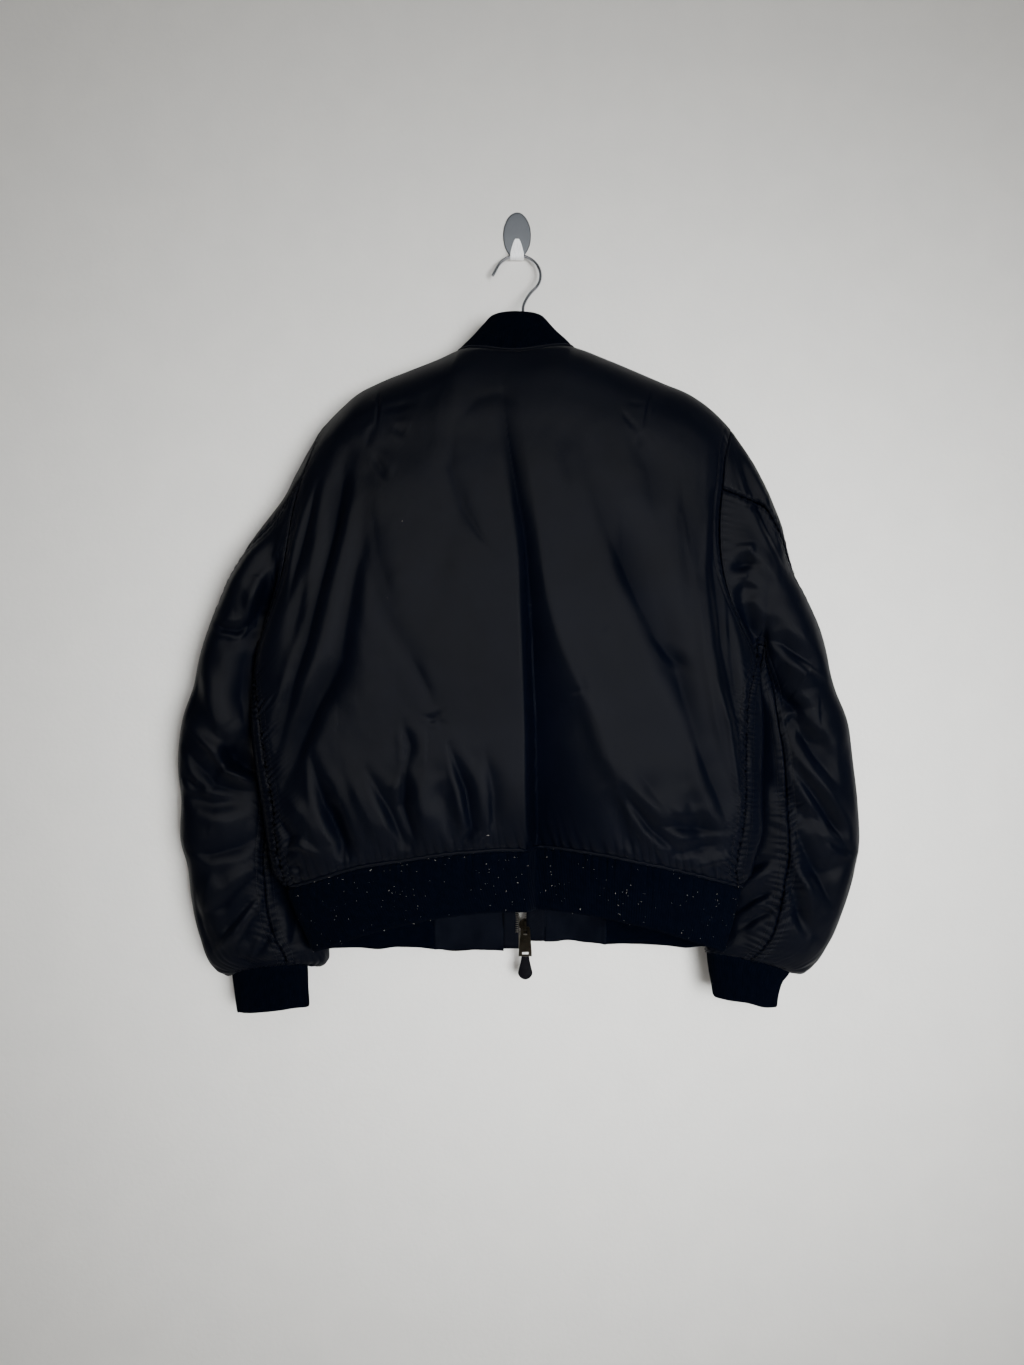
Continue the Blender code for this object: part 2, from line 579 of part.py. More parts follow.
def make_cuff(side):
    def surface(a, b):
        return cuff_base(side, a, b)
    rows = np.array([0.012, 0.15, 0.5, 1.0])
    columns = []
    for angle in np.arange(20) * 18.0:
        a = np.full(rows.shape, angle)
        columns.append((rows, *base_wall(surface, a, rows, 1.0, 0.02, RIB, side)))
    return make_wall("cuff_" + ("right" if side > 0 else "left"), "rib", columns, closed=True)


def hem_edge_angle(side, x, s):
    return side * front_end_angle(side, x, spline(HEM["s"], HEM["edge_left"], s),
                                  spline(HEM["s"], HEM["edge_right"], s))


def make_hem_band():
    rows = np.array([0.008, 0.15, 0.5, 1.0])
    start, end = (hem_edge_angle(side, RIB_END_X[side], rows) for side in (-1, 1))
    columns = []
    for share in np.linspace(0, 1, 43):
        angle = mix(start, end, share)
        columns.append((rows, *base_wall(hem_base, angle, rows, 0.3, 0.01, RIB, -1)))
    return make_wall("hem_band", "rib", columns)


def make_hem_end(side):
    rows = np.array([0.008, 0.15, 0.5, 1.0])
    start = hem_edge_angle(side, RIB_END_X[side] - side * SEAM_GAP, rows)
    end = hem_edge_angle(side, FRONT_EDGE_X[side], rows)
    columns = []
    for share in np.linspace(0, 1, 6):
        angle = mix(start, end, share)
        columns.append((rows, *base_wall(hem_base, angle, rows, 0.3, 0.01, CLOTH, -1)))
    return make_wall("hem_end_" + ("right" if side > 0 else "left"), "satin", columns)


def make_collar():
    rows = np.array([0.0, 0.15, 0.6, 1.0])
    columns = []
    for at_neck in np.concatenate((-neck_columns(-1)[::-1], BACK_NECK_COLUMNS[1:-1],
                                   neck_columns(1))):
        angle = np.full(rows.shape, at_neck)
        columns.append((rows, *base_wall(collar_base, angle, rows, 1.0, 0.02, RIB, 1)))
    return make_wall("collar", "rib", columns)


def make_zip_tape(side):
    """One tape, in line with the front's edge from the neck to the hem's lower edge."""
    t = np.linspace(0.01, 1, 13)
    s = np.array([0.0, 0.33, 0.66, 0.97])
    columns = []
    for x in (FRONT_EDGE_X[side] - side * SEAM_GAP, TAPE_EDGE_X[side]):
        on_body = side * front_end_angle(side, x, body("edge_left", t), body("edge_right", t))
        on_hem = hem_edge_angle(side, x, s[1:])
        upper = base_wall(body_base, on_body, t, 0.3, 0.0008, 1.2, -1)
        lower = base_wall(hem_base, on_hem, s[1:], 0.3, 0.01, 1.2, -1)
        outer, inner = (np.concatenate(pair) for pair in zip(upper, lower))
        columns.append((np.concatenate((t, 1 + s[1:])), outer, inner))
    return make_wall("zip_tape_" + ("right" if side > 0 else "left"), "tape", columns)


# ---- hard pieces ----------------------------------------------------------------------
PLATE_HALF_X, PLATE_HALF_Z, PLATE_THICK = 18.0, 30.0, 1.8
TONGUE_THICK, TONGUE_HALF = 1.2, 10.0
TONGUE_PATH = [(-1.2, -22.0), (-2.2, -29.0), (-3.6, -32.2), (-7.0, -34.0), (-10.4, -32.6),
               (-12.0, -29.0), (-12.8, -22.0), (-13.4, -15.0), (-13.8, -10.0)]
WIRE_RADIUS = 1.9
HOOK_CENTRE, HOOK_RADIUS, HOOK_TOP_Y = (1.0, -57.6), 29.0, -7.2
BAR_STATIONS = (-212, -200, -170, -140, -110, -80, -50, -20, 8, 36, 66, 96, 126, 156, 186, 216,
                228)
BAR_HALF_THICK, BAR_HALF_HEIGHT, BAR_BELOW_SEAM = 5.0, 10.0, 4.2
SLIDER_X, SLIDER_Y, SLIDER_Z = 10.4, -20.8, -887.5
SLIDER_SIZE = (14.0, 6.0, 15.0)
BRIDGE_Y, BRIDGE_HALF_Z = -27.0, 6.1
PULL_Y, PULL_THICK = -25.0, 1.4
PULL_Z = SLIDER_Z - 2.8        # the hinge axis, along X in the pull's cross bar
PULL_WINDOW = (2.4, 0.8, 9.8)  # half width, then its top and bottom below the axis


def ring_faces(rings, closed_ends=True):
    """Faces of a loft through rings of equal length, whose points follow each other."""
    size = len(rings[0])
    faces = []
    for k in range(len(rings) - 1):
        for i in range(size):
            j = (i + 1) % size
            faces.append((k * size + i, k * size + j, (k + 1) * size + j, (k + 1) * size + i))
    if closed_ends:
        faces.append(tuple(range(size)))
        faces.append(tuple((len(rings) - 1) * size + i for i in range(size)))
    return faces


def make_loft(name, kind, rings, origin=(0, 0, 0)):
    points = [p for ring in rings for p in ring]
    return make_mesh(name, points, ring_faces(rings), kind, origin)


def join(target, other, operation="UNION"):
    """Boolean of two meshes; the second object is used up."""
    step = target.modifiers.new("join", "BOOLEAN")
    step.operation = operation
    step.object = other
    bpy.context.view_layer.update()
    shaped = bpy.data.meshes.new_from_object(
        target.evaluated_get(bpy.context.evaluated_depsgraph_get()))
    target.modifiers.clear()
    target.data = shaped
    bpy.data.objects.remove(other)


def make_wall_hook():
    turn = np.radians(np.arange(48) * 7.5)
    outline = [(PLATE_HALF_X * np.cos(a), PLATE_HALF_Z * np.sin(a)) for a in turn]
    edge = 0.93
    plate = make_loft("wall_hook", "steel", [
        [(x, 0.0, z) for x, z in outline],
        [(x, -PLATE_THICK + 0.5, z) for x, z in outline],
        [(x * edge, -PLATE_THICK, z * edge) for x, z in outline]])
    path = np.array(TONGUE_PATH)
    step = np.gradient(path, axis=0)
    across = np.stack((step[:, 1], -step[:, 0]), axis=1)
    across /= np.linalg.norm(across, axis=1, keepdims=True)
    rings = []
    for k, ((y, z), (ny, nz)) in enumerate(zip(path, across)):
        half = TONGUE_HALF * (1 if z < -28 or k < 4 else max(0.16, ((-8.6 - z) / 19.4) ** 0.5))
        h = TONGUE_THICK / 2
        rings.append([(-half, y - h * ny, z - h * nz), (half, y - h * ny, z - h * nz),
                      (half, y + h * ny, z + h * nz), (-half, y + h * ny, z + h * nz)])
    join(plate, make_loft("tongue", "steel", rings))
    return plate


def hook_route():
    """Centre line of the hanger's wire hook, from its free tip down to the bar."""
    arc = [(HOOK_CENTRE[0] + HOOK_RADIUS * np.cos(a), HOOK_CENTRE[1] + HOOK_RADIUS * np.sin(a))
           for a in np.radians(np.arange(184, -36, -14))]
    stem = [(18.5, -81.0), (11.5, -92.0), (8.0, -101.0), (7.4, -112.0), (7.6, -128.0),
            (8.0, -152.0)]
    top = HOOK_CENTRE[1] + HOOK_RADIUS
    route = []
    for x, z in arc + stem:
        lean = (top - z) / (top + 152.0)
        route.append((x, mix(HOOK_TOP_Y, RIDGE_Y, lean), z))
    return np.array(route)


def make_hanger_hook():
    route = hook_route()
    tangent = np.gradient(route, axis=0)
    tangent /= np.linalg.norm(tangent, axis=1, keepdims=True)
    rings = []
    for point, along in zip(route, tangent):
        side = np.cross(along, (0, 1, 0))
        side /= np.linalg.norm(side)
        up = np.cross(side, along)
        rings.append([point + WIRE_RADIUS * (np.cos(a) * side + np.sin(a) * up)
                      for a in np.radians(np.arange(8) * 45)])
    return make_loft("hanger_hook", "chrome", rings)


def make_hanger_bar():
    rings = []
    last = len(BAR_STATIONS) - 1
    for k, x in enumerate(BAR_STATIONS):
        size = 0.45 if k in (0, last) else 1.0
        seam = float(spline(SHOULDER_LINE["x"], SHOULDER_LINE["z"], float(x)))
        centre = seam - BAR_BELOW_SEAM - BAR_HALF_HEIGHT
        rings.append([(x, RIDGE_Y + size * BAR_HALF_THICK * np.cos(a),
                       centre + size * BAR_HALF_HEIGHT * np.sin(a))
                      for a in np.radians(np.arange(12) * 30)])
    return make_loft("hanger_bar", "wood", rings)


def block(name, kind, centre, size, origin=(0, 0, 0)):
    x, y, z = (np.array(size) / 2)
    corners = [(-x, -y), (x, -y), (x, y), (-x, y)]
    return make_loft(name, kind, [
        [(centre[0] + a, centre[1] + b, centre[2] + h) for a, b in corners] for h in (-z, z)],
        origin)


def make_slider():
    """The slider's body, with the bridge that carries the pull."""
    slider = block("zip_slider", "brass", (SLIDER_X, SLIDER_Y, SLIDER_Z), SLIDER_SIZE)
    face = SLIDER_Y - SLIDER_SIZE[1] / 2
    for end in (-1, 1):
        centre = (SLIDER_X, (face + BRIDGE_Y) / 2, SLIDER_Z + end * (BRIDGE_HALF_Z - 1.1))
        join(slider, block("post", "brass", centre, (3.0, face - BRIDGE_Y + 1.0, 2.2)))
    join(slider, block("bridge", "brass", (SLIDER_X, BRIDGE_Y, SLIDER_Z),
                       (3.0, 1.6, 2 * BRIDGE_HALF_Z)))


# distance below the hinge axis and half width of the pull, then of the tab on its end
PULL_PROFILE = table("down half", [
    (-0.8, 4.6), (0.8, 5.4), (8.0, 5.8), (11.5, 5.2), (16.0, 5.8), (30.0, 8.0), (37.0, 8.4)])
TAB_PROFILE = table("down half", [
    (37.5, 5.0), (43.0, 5.8), (52.0, 8.0), (59.0, 9.2), (63.5, 7.8), (66.0, 3.4)])


def make_flat_piece(name, kind, profile, thick):
    rings = []
    for down, half in zip(profile["down"], profile["half"]):
        z = PULL_Z - down
        near, far = PULL_Y - thick / 2, PULL_Y + thick / 2
        rings.append([(SLIDER_X - half, near, z), (SLIDER_X + half, near, z),
                      (SLIDER_X + half, far, z), (SLIDER_X - half, far, z)])
    return make_loft(name, kind, rings, (SLIDER_X, PULL_Y, PULL_Z))


def make_pull():
    """The pull hangs on its cross bar, which lies behind the slider's bridge."""
    pull = make_flat_piece("zip_pull", "brass", PULL_PROFILE, PULL_THICK)
    half, top, bottom = PULL_WINDOW
    for low, high, reach in ((bottom, top, half), (35.0, 31.5, 4.6)):
        centre = (SLIDER_X, PULL_Y, PULL_Z - (low + high) / 2)
        window = block("window", "brass", centre, (2 * reach, 6.0, low - high),
                       (SLIDER_X, PULL_Y, PULL_Z))
        join(pull, window, "DIFFERENCE")
    make_flat_piece("pull_tab", "tab", TAB_PROFILE, 2.4)


def main():
    for old in list(bpy.data.objects):
        bpy.data.objects.remove(old)
    make_back()
    for side in (-1, 1):
        make_front(side)
        make_sleeve(side, "back")
        make_sleeve(side, "front")
        make_cuff(side)
        make_hem_end(side)
        make_zip_tape(side)
    make_hem_band()
    make_collar()
    make_wall_hook()
    make_hanger_hook()
    make_hanger_bar()
    make_slider()
    make_pull()


main()
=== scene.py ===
"""Looks of the satin flight jacket on its hanger and wall hook.

Lengths are millimetres until a mesh is made. The frame is the model's own: the origin is
the centre of the wall plate's back face, +X right, +Y into the wall, +Z up. Side -1 is the
left and 1 the right, for someone who faces the wall and sees the jacket's back.
"""
import bpy
import bmesh
import numpy as np
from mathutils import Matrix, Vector


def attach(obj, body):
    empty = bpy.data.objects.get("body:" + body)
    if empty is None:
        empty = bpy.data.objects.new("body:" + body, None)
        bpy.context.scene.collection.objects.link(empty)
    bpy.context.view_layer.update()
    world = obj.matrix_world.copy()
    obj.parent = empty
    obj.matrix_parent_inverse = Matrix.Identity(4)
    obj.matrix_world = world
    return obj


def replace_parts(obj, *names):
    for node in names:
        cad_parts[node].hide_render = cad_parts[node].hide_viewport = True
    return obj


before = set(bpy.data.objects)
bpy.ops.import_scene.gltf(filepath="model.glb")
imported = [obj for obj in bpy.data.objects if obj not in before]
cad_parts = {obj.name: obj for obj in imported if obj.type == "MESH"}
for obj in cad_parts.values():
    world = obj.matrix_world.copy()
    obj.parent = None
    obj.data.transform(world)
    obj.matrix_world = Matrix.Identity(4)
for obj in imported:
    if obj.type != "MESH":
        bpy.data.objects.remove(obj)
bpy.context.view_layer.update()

MM = 0.001
WORDS = {-1: "left", 1: "right"}

# ---- driving dimensions -------------------------------------------------------------
CLOTH = 1.5            # satin, filling and lining pressed flat at the wall
RIB = 2.6              # folded rib knit of collar, cuffs and hem band
TAPE_THICK = 1.2
COLLAR_GAP = 0.4       # how far the collar starts above the neck seam
SEAM_LAP = 1.2         # how far the zip tapes and the hem's ends reach under their neighbours
RIDGE_Y = -42.0        # depth of the hanger bar and of the shoulder seams
SHOULDER_Z = -262.0    # height of the shoulder points
HEM_Z = -828.0         # height of the hem seam at the sides
HEM_BOTTOM_Z = -908.0  # height of the hem band's lower edge at the sides
UNDERARM_Z = -543.0
NECK_X, NECK_HALF = -1.5, 72.5
NECK_BACK_DEPTH, NECK_FRONT_DEPTH = 20.0, 22.0
NECK_BACK_DROP, NECK_FRONT_DROP = 6.0, 75.0
BACK_POWER = 0.6       # how blunt the body's ring is behind; in front, see BODY
BACK_HEM_RISE, FRONT_HEM_DROP = 48.0, 14.0
BACK_BOTTOM_RISE = 55.0
FRONT_BOTTOM_DROP = {-1: 11.0, 1: 1.0}      # left and right front, below the sides
SHOULDER_ROLL = 0.085  # share of the body's height in which the shoulders round over
FRONT_EDGE_X = {-1: -17.0, 1: 35.0}         # where each front ends beside the zip
TAPE_EDGE_X = {-1: -2.0, 1: 18.2}           # free edge of each zip tape
RIB_END_X = {-1: -104.0, 1: 112.0}          # where the hem's rib gives way to satin
COLLAR_END_X = {-1: -14.0, 1: 24.0}
END_INSET = 0.0004     # share of the body's height kept free at its top and hem seams


def table(names, rows):
    """Named columns, one row for each section."""
    return dict(zip(names.split(), np.array(rows, float).T))


SHOULDER_LINE = table("x z", [
    (-258, -275), (-246, -262), (-235, -250), (-218, -233), (-202, -219), (-174, -204),
    (-137, -189), (-99, -174), (-74, -163), (-1.5, -162), (71, -159), (112, -174),
    (148, -189), (183, -204), (218, -219), (241, -235), (258, -251), (268, -262),
    (280, -275)])

# edge: outermost X of the body's ring; seam: armhole seam, then side seam below it
BODY = table("z edge_left edge_right seam_left seam_right y_side back front power", [
    (-262, -258, 280, -246, 268, -42, 26, 26, 0.6),
    (-300, -270, 270, -256, 257.6, -46, 33, 31, 0.6),
    (-330, -280, 266, -266, 254, -49, 37, 34, 0.6),
    (-370, -290, 262, -276, 249, -52, 40, 37, 0.6),
    (-407, -295, 261, -281, 247.5, -55, 43, 40, 0.62),
    (-452, -302, 266, -289, 252, -58, 45, 43, 0.68),
    (-492, -311, 276, -302, 265, -61, 46, 46, 0.78),
    (-516, -316, 285, -311, 277, -63, 46, 48, 0.88),
    (-543, -321, 295, -319, 292, -66, 45, 50, 1.0),
    (-575, -324, 299, -320, 286, -68, 45, 51, 1.12),
    (-600, -326, 301, -316, 280, -69, 45, 52, 1.2),
    (-640, -325, 302, -311, 277, -70, 45, 53, 1.2),
    (-683, -320, 301, -305, 276, -71, 45, 54, 1.2),
    (-723, -313, 299, -297, 275, -73, 46, 55, 1.2),
    (-767, -306, 297, -292, 270, -75, 46, 56, 1.2),
    (-795, -301, 289, -288, 265, -76, 44, 56, 1.2),
    (-815, -294, 283, -283, 263, -77, 40, 55, 1.2),
    (-828, -281, 273, -278, 268, -76, 36, 54, 1.2)])

HEM = table("s edge_left edge_right y_side back front power", [
    (0, -281, 273, -76, 36, 54, 1.2),
    (0.5, -267, 264, -76, 37, 54, 1.2),
    (1, -250, 254, -74, 35, 52, 1.2)])
RING_COLUMNS = "edge_left edge_right y_side back front power"

COLLAR_TOP = table("angle z", [
    (0, -117), (45, -118), (70, -120), (90, -127), (120, -150), (150, -178), (180, -200)])
COLLAR_TOP_HALF, COLLAR_TOP_Y, COLLAR_TOP_DEPTH = 36.0, -38.0, 18.0

SLEEVE_COLUMNS = "outer_x outer_z inner_x inner_z y_outer y_inner depth"
SLEEVE = {
    -1: table(SLEEVE_COLUMNS, [
        (-273, -310, -325, -552, -43, -58, 24), (-297, -355, -322, -563, -44, -46, 29),
        (-341, -416, -318, -581, -46, -39, 32), (-371, -476, -312, -606, -48, -34, 33),
        (-392, -536, -308, -632, -50, -29, 33), (-402, -581, -301, -660, -51, -27, 33),
        (-416, -626, -296, -693, -52, -26, 33), (-422, -676, -293, -728, -52, -26, 33),
        (-417, -731, -291, -765, -52, -27, 33), (-417, -776, -289, -800, -51, -28, 33),
        (-410, -806, -284, -826, -50, -30, 33), (-405, -851, -273, -857, -49, -32, 32),
        (-396, -897, -254, -892, -48, -34, 30), (-382, -934, -236, -916, -45, -38, 25),
        (-368, -946, -241, -933, -43, -39, 21), (-354, -947, -260, -938, -42, -40, 17)]),
    1: table(SLEEVE_COLUMNS, [
        (299, -310, 299, -552, -44, -58, 24), (325, -370, 297, -563, -45, -46, 29),
        (340, -428, 292, -581, -46, -39, 32), (362, -476, 287, -600, -47, -35, 33),
        (380, -521, 285, -622, -48, -31, 33), (395, -581, 280, -653, -48, -29, 33),
        (412, -626, 277, -690, -48, -29, 33), (418, -671, 276, -727, -48, -29, 33),
        (425, -731, 274, -765, -48, -29, 33), (427, -776, 271, -800, -48, -30, 33),
        (418, -821, 267, -830, -48, -31, 33), (405, -866, 261, -861, -47, -33, 32),
        (392, -901, 252, -888, -46, -35, 30), (372, -932, 238, -908, -44, -38, 25),
        (357, -944, 236, -917, -43, -39, 21), (340, -944, 238, -920, -42, -40, 17)])}

# angle of the two sleeve seams round the sleeve: 0 is outside, 90 faces -Y
SLEEVE_SEAMS = {
    -1: table("s upper lower", [
        (0, 60, 180), (0.12, 40, 165), (0.25, 6, 152), (0.4, -28, 143), (0.6, -55, 134),
        (0.75, -66, 124), (0.88, -74, 112), (1, -80, 104)]),
    1: table("s upper lower", [
        (0, 64, 180), (0.06, 58, 160), (0.12, 45, 142), (0.25, 8, 120), (0.4, -28, 108),
        (0.6, -55, 103), (0.8, -70, 100), (1, -80, 96)])}
SLEEVE_GATHERS_FROM = 0.56

CUFF = {
    -1: table("s outer_x outer_z inner_x inner_z depth", [
        (-0.3, -359, -934, -264, -925, 14), (0, -358, -947, -263, -938, 16),
        (0.5, -355, -970, -261.5, -961, 16), (1, -351.5, -993.5, -260.5, -984.5, 14)]),
    1: table("s outer_x outer_z inner_x inner_z depth", [
        (-0.3, 342, -930, 238, -906, 14), (0, 342, -944, 238, -920, 16),
        (0.25, 334, -955, 239.5, -932, 16.5), (0.5, 330, -967, 241.5, -946, 16),
        (1, 327, -986, 245, -971.5, 14)])}
CUFF_Y = -41.0

# soft folds: X, Z along the fold, then its half width and height (hollows negative)
BACK_FOLDS = [
    ([(-206, -300), (-215, -350), (-236, -420), (-262, -500), (-272, -560)], 13, -6),
    ([(-184, -330), (-192, -420), (-212, -520), (-244, -620), (-272, -700)], 15, -5),
    ([(128, -350), (160, -450), (190, -560), (196, -640)], 20, -5),
    ([(-228, -715), (-214, -760), (-196, -798)], 13, -7),
    ([(-150, -700), (-140, -740), (-128, -790)], 15, -5),
    ([(-95, -690), (-78, -740), (-62, -782)], 13, -5),
    ([(110, -700), (124, -745), (140, -790)], 15, -5),
    ([(200, -700), (216, -750), (232, -800)], 13, -5)]
FRONT_FOLDS = [
    ([(-120, -300), (-134, -440), (-150, -600), (-158, -740)], 26, -6),
    ([(128, -300), (140, -440), (160, -600), (170, -740)], 26, -6),
    ([(-210, -640), (-196, -720), (-180, -800)], 14, -5),
    ([(206, -640), (192, -720), (178, -800)], 14, -5),
    ([(-84, -720), (-76, -790)], 13, -4),
    ([(92, -720), (84, -790)], 13, -4)]
SLEEVE_FOLDS = {
    (-1, "back"): [
        ([(-297, -440), (-303, -480), (-318, -512), (-352, -528)], 15, -11),
        ([(-322, -640), (-345, -672), (-385, -690)], 13, -8),
        ([(-330, -720), (-372, -728), (-415, -716)], 12, -6),
        ([(-318, -842), (-345, -872), (-372, -888)], 12, -6),
        ([(-300, -862), (-322, -896), (-338, -918)], 11, -6)],
    (-1, "front"): [
        ([(-300, -450), (-330, -520), (-345, -600)], 16, -7),
        ([(-400, -660), (-350, -690), (-305, -720)], 14, -8),
        ([(-400, -820), (-340, -850), (-290, -890)], 13, -6)],
    (1, "back"): [
        ([(276, -440), (272, -480), (284, -520), (310, -560)], 14, -9),
        ([(302, -300), (320, -345), (326, -390)], 10, -4),
        ([(300, -590), (352, -640), (400, -668)], 16, -6),
        ([(310, -700), (352, -742), (398, -760)], 13, -6),
        ([(330, -800), (372, -812), (412, -800)], 12, -5),
        ([(330, -850), (360, -880), (384, -908)], 11, -6)],
    (1, "front"): [
        ([(280, -450), (310, -520), (330, -600)], 16, -7),
        ([(400, -660), (350, -690), (300, -720)], 14, -8),
        ([(400, -820), (340, -850), (290, -890)], 13, -6)]}


# ---- curves and blends ----------------------------------------------------------------
def hermite(q, step, here, rise, there, fall):
    """Cubic at share q of a step between two values, which are passed at their own slopes."""
    return ((2 * q**3 - 3 * q**2 + 1) * here + (q**3 - 2 * q**2 + q) * step * rise
            + (3 * q**2 - 2 * q**3) * there + (q**3 - q**2) * step * fall)


def spline(xs, ys, x):
    """Smooth curve through the points (xs, ys), read at x."""
    xs, ys = np.asarray(xs, float), np.asarray(ys, float)
    slope = np.gradient(ys, xs)
    i = np.clip(np.searchsorted(xs, x, side="right") - 1, 0, len(xs) - 2)
    step = xs[i + 1] - xs[i]
    q = np.clip((x - xs[i]) / step, 0, 1)
    return hermite(q, step, ys[i], slope[i], ys[i + 1], slope[i + 1])


def read(rows, names, at, by="s"):
    """Columns of a table as smooth curves over another of its columns."""
    return [spline(rows[by], rows[name], at) for name in names.split()]


def ease(q):
    """From 0 to 1 with soft ends."""
    q = np.clip(q, 0, 1)
    return q * q * (3 - 2 * q)


def mix(a, b, q):
    return a + (b - a) * q


def unit(vectors):
    return vectors / np.linalg.norm(vectors, axis=-1, keepdims=True)


def cos_sin(degrees):
    return np.cos(np.radians(degrees)), np.sin(np.radians(degrees))


def points_of(x, y, z):
    return np.stack(np.broadcast_arrays(x, y, z), axis=-1)


def nearest_on(points, x, z):
    """For each X, Z: its gap to a drawn line, the share of the line at that point, and
    whether it lies on the line's right."""
    points = np.array(points, float)
    lengths = np.linalg.norm(np.diff(points, axis=0), axis=1)
    start = np.concatenate(([0], np.cumsum(lengths)))
    nearest, along = np.full(x.shape, 1e9), np.zeros_like(x)
    on_right = np.ones(x.shape, bool)
    for k, length in enumerate(lengths):
        (ax, az), (bx, bz) = points[k], points[k + 1]
        q = np.clip(((x - ax) * (bx - ax) + (z - az) * (bz - az)) / length**2, 0, 1)
        gap = np.hypot(x - ax - q * (bx - ax), z - az - q * (bz - az))
        right = (x - ax) * (bz - az) - (z - az) * (bx - ax) > 0
        closer = gap < nearest
        nearest = np.where(closer, gap, nearest)
        along = np.where(closer, (start[k] + q * length) / start[-1], along)
        on_right = np.where(closer, right, on_right)
    return nearest, along, on_right


def tapered(along, reach, least):
    """1 along the middle of a fold, down to its least share at both of its ends."""
    return least + (1 - least) * ease(along / reach) * ease((1 - along) / reach)


def folds(x, z, rows):
    """Height of the soft folds at X, Z: a rounded trough along each fold's own line."""
    height = np.zeros_like(x)
    for points, half_width, depth in rows:
        nearest, along, _ = nearest_on(points, x, z)
        height += depth * np.exp(-(nearest / half_width) ** 2) * tapered(along, 0.3, 0.25)
    return height


# ---- body ---------------------------------------------------------------------------
BODY_DROP = SHOULDER_Z - HEM_Z
UNDERARM_T = (SHOULDER_Z - UNDERARM_Z) / BODY_DROP
BODY["t"] = (SHOULDER_Z - BODY["z"]) / BODY_DROP
ARMHOLE_TURN = 50.0    # height above the underarm in which the armhole parts into two edges
SEAM_LIMIT = 0.9985    # how near a side seam comes to the ring's outermost point


def body(names, t):
    """Columns of the body's table at t, the share of its height below the shoulder points."""
    return read(BODY, names, t, "t")


def ring_point(angle, left, right, y_side, back, front, power):
    """Point of a flattened ring: angle 0 is the middle of the back, 90 the right side."""
    cosine, sine = cos_sin(angle)
    x = (left + right) / 2 + (right - left) / 2 * sine
    size = np.abs(cosine)
    y = y_side + np.where(cosine >= 0, -back * size**BACK_POWER, front * size**power)
    return x, y, sine, cosine


def ring_share(x, side, left, right):
    """The sine of the angle at which X lies on a ring."""
    return (x - (left + right) / 2) / ((right - left) / 2) * side


def neck_line(x, behind):
    """Y and Z of the shoulder seam at X, and of the neckline between its ends."""
    inside = np.sqrt(np.clip(1 - ((x - NECK_X) / NECK_HALF) ** 2, 0, 1))
    y = RIDGE_Y + np.where(behind, -NECK_BACK_DEPTH, NECK_FRONT_DEPTH) * inside
    drop = np.where(behind, NECK_BACK_DROP, NECK_FRONT_DROP) * inside**2
    return y, spline(SHOULDER_LINE["x"], SHOULDER_LINE["z"], x) - drop


def hem_seam_z(cosine):
    return HEM_Z + np.where(cosine >= 0, BACK_HEM_RISE, -FRONT_HEM_DROP) * cosine**2


def body_base(angle, t):
    """The body's outer surface without folds, from the shoulders (t 0) to the hem (t 1)."""
    x, ring_y, sine, cosine = ring_point(angle, *body(RING_COLUMNS, t))
    left, right = BODY["edge_left"][0], BODY["edge_right"][0]
    top_x = (left + right) / 2 + (right - left) / 2 * sine
    top_y, top_z = neck_line(top_x, cosine >= 0)
    over = np.sqrt(1 - (1 - np.clip(t / SHOULDER_ROLL, 0, 1)) ** 2)
    z = (mix(SHOULDER_Z, HEM_Z, t) + (top_z - SHOULDER_Z) * (1 - t)
         + (hem_seam_z(cosine) - HEM_Z) * t)
    return points_of(x, mix(top_y, ring_y, over), z)


def seam_angle(side, t):
    """Angle of the armhole seam behind, and of the side seam below the underarm."""
    left, right, seam = body("edge_left edge_right seam_" + WORDS[side], t)
    return np.degrees(np.arcsin(np.clip(ring_share(seam, side, left, right), -1, SEAM_LIMIT)))


def front_start_angle(side, t):
    """Angle where the front begins: the armhole's front edge, then the side seam."""
    behind = seam_angle(side, t)
    above = np.clip((UNDERARM_T - t) * BODY_DROP / ARMHOLE_TURN, 0, 1)
    return mix(behind, 180 - behind, np.sqrt(1 - (1 - above) ** 2))


def front_end_angle(side, x_end, left, right):
    return 180 - np.degrees(np.arcsin(ring_share(x_end, side, left, right)))


# ---- sleeves --------------------------------------------------------------------------
def armhole_point(side, angle):
    """The armhole's edge on the body, by the angle round the sleeve."""
    cosine, sine = cos_sin(angle)
    t = UNDERARM_T * (1 - cosine) / 2
    at = np.where(sine >= 0, seam_angle(side, t), front_start_angle(side, t))
    return body_base(side * at, t)


def sleeve_loops(side, angle):
    """Points at an angle on the armhole and on each ring of a sleeve, a flattened ellipse
    between the ring's outer and inner points."""
    rings = SLEEVE[side]
    cosine, sine = cos_sin(angle)
    loops = [armhole_point(side, angle)]
    for k, depth in enumerate(rings["depth"]):
        outer, inner = (np.array([rings[at + "_x"][k], rings["y_" + at][k], rings[at + "_z"][k]])
                        for at in ("outer", "inner"))
        points = (outer + inner) / 2 + cosine[..., None] * (outer - inner) / 2
        points[..., 1] -= depth * sine
        loops.append(points)
    return np.array(loops)


def sleeve_stations(side):
    """Share of the sleeve's length at each of its rings, the armhole's first; its length."""
    loops = sleeve_loops(side, np.array([0.0, 90.0, 180.0, 270.0]))
    steps = [np.linalg.norm(b - a, axis=-1).mean() for a, b in zip(loops, loops[1:])]
    reach = np.concatenate(([0], np.cumsum(steps)))
    return reach / reach[-1], reach[-1]


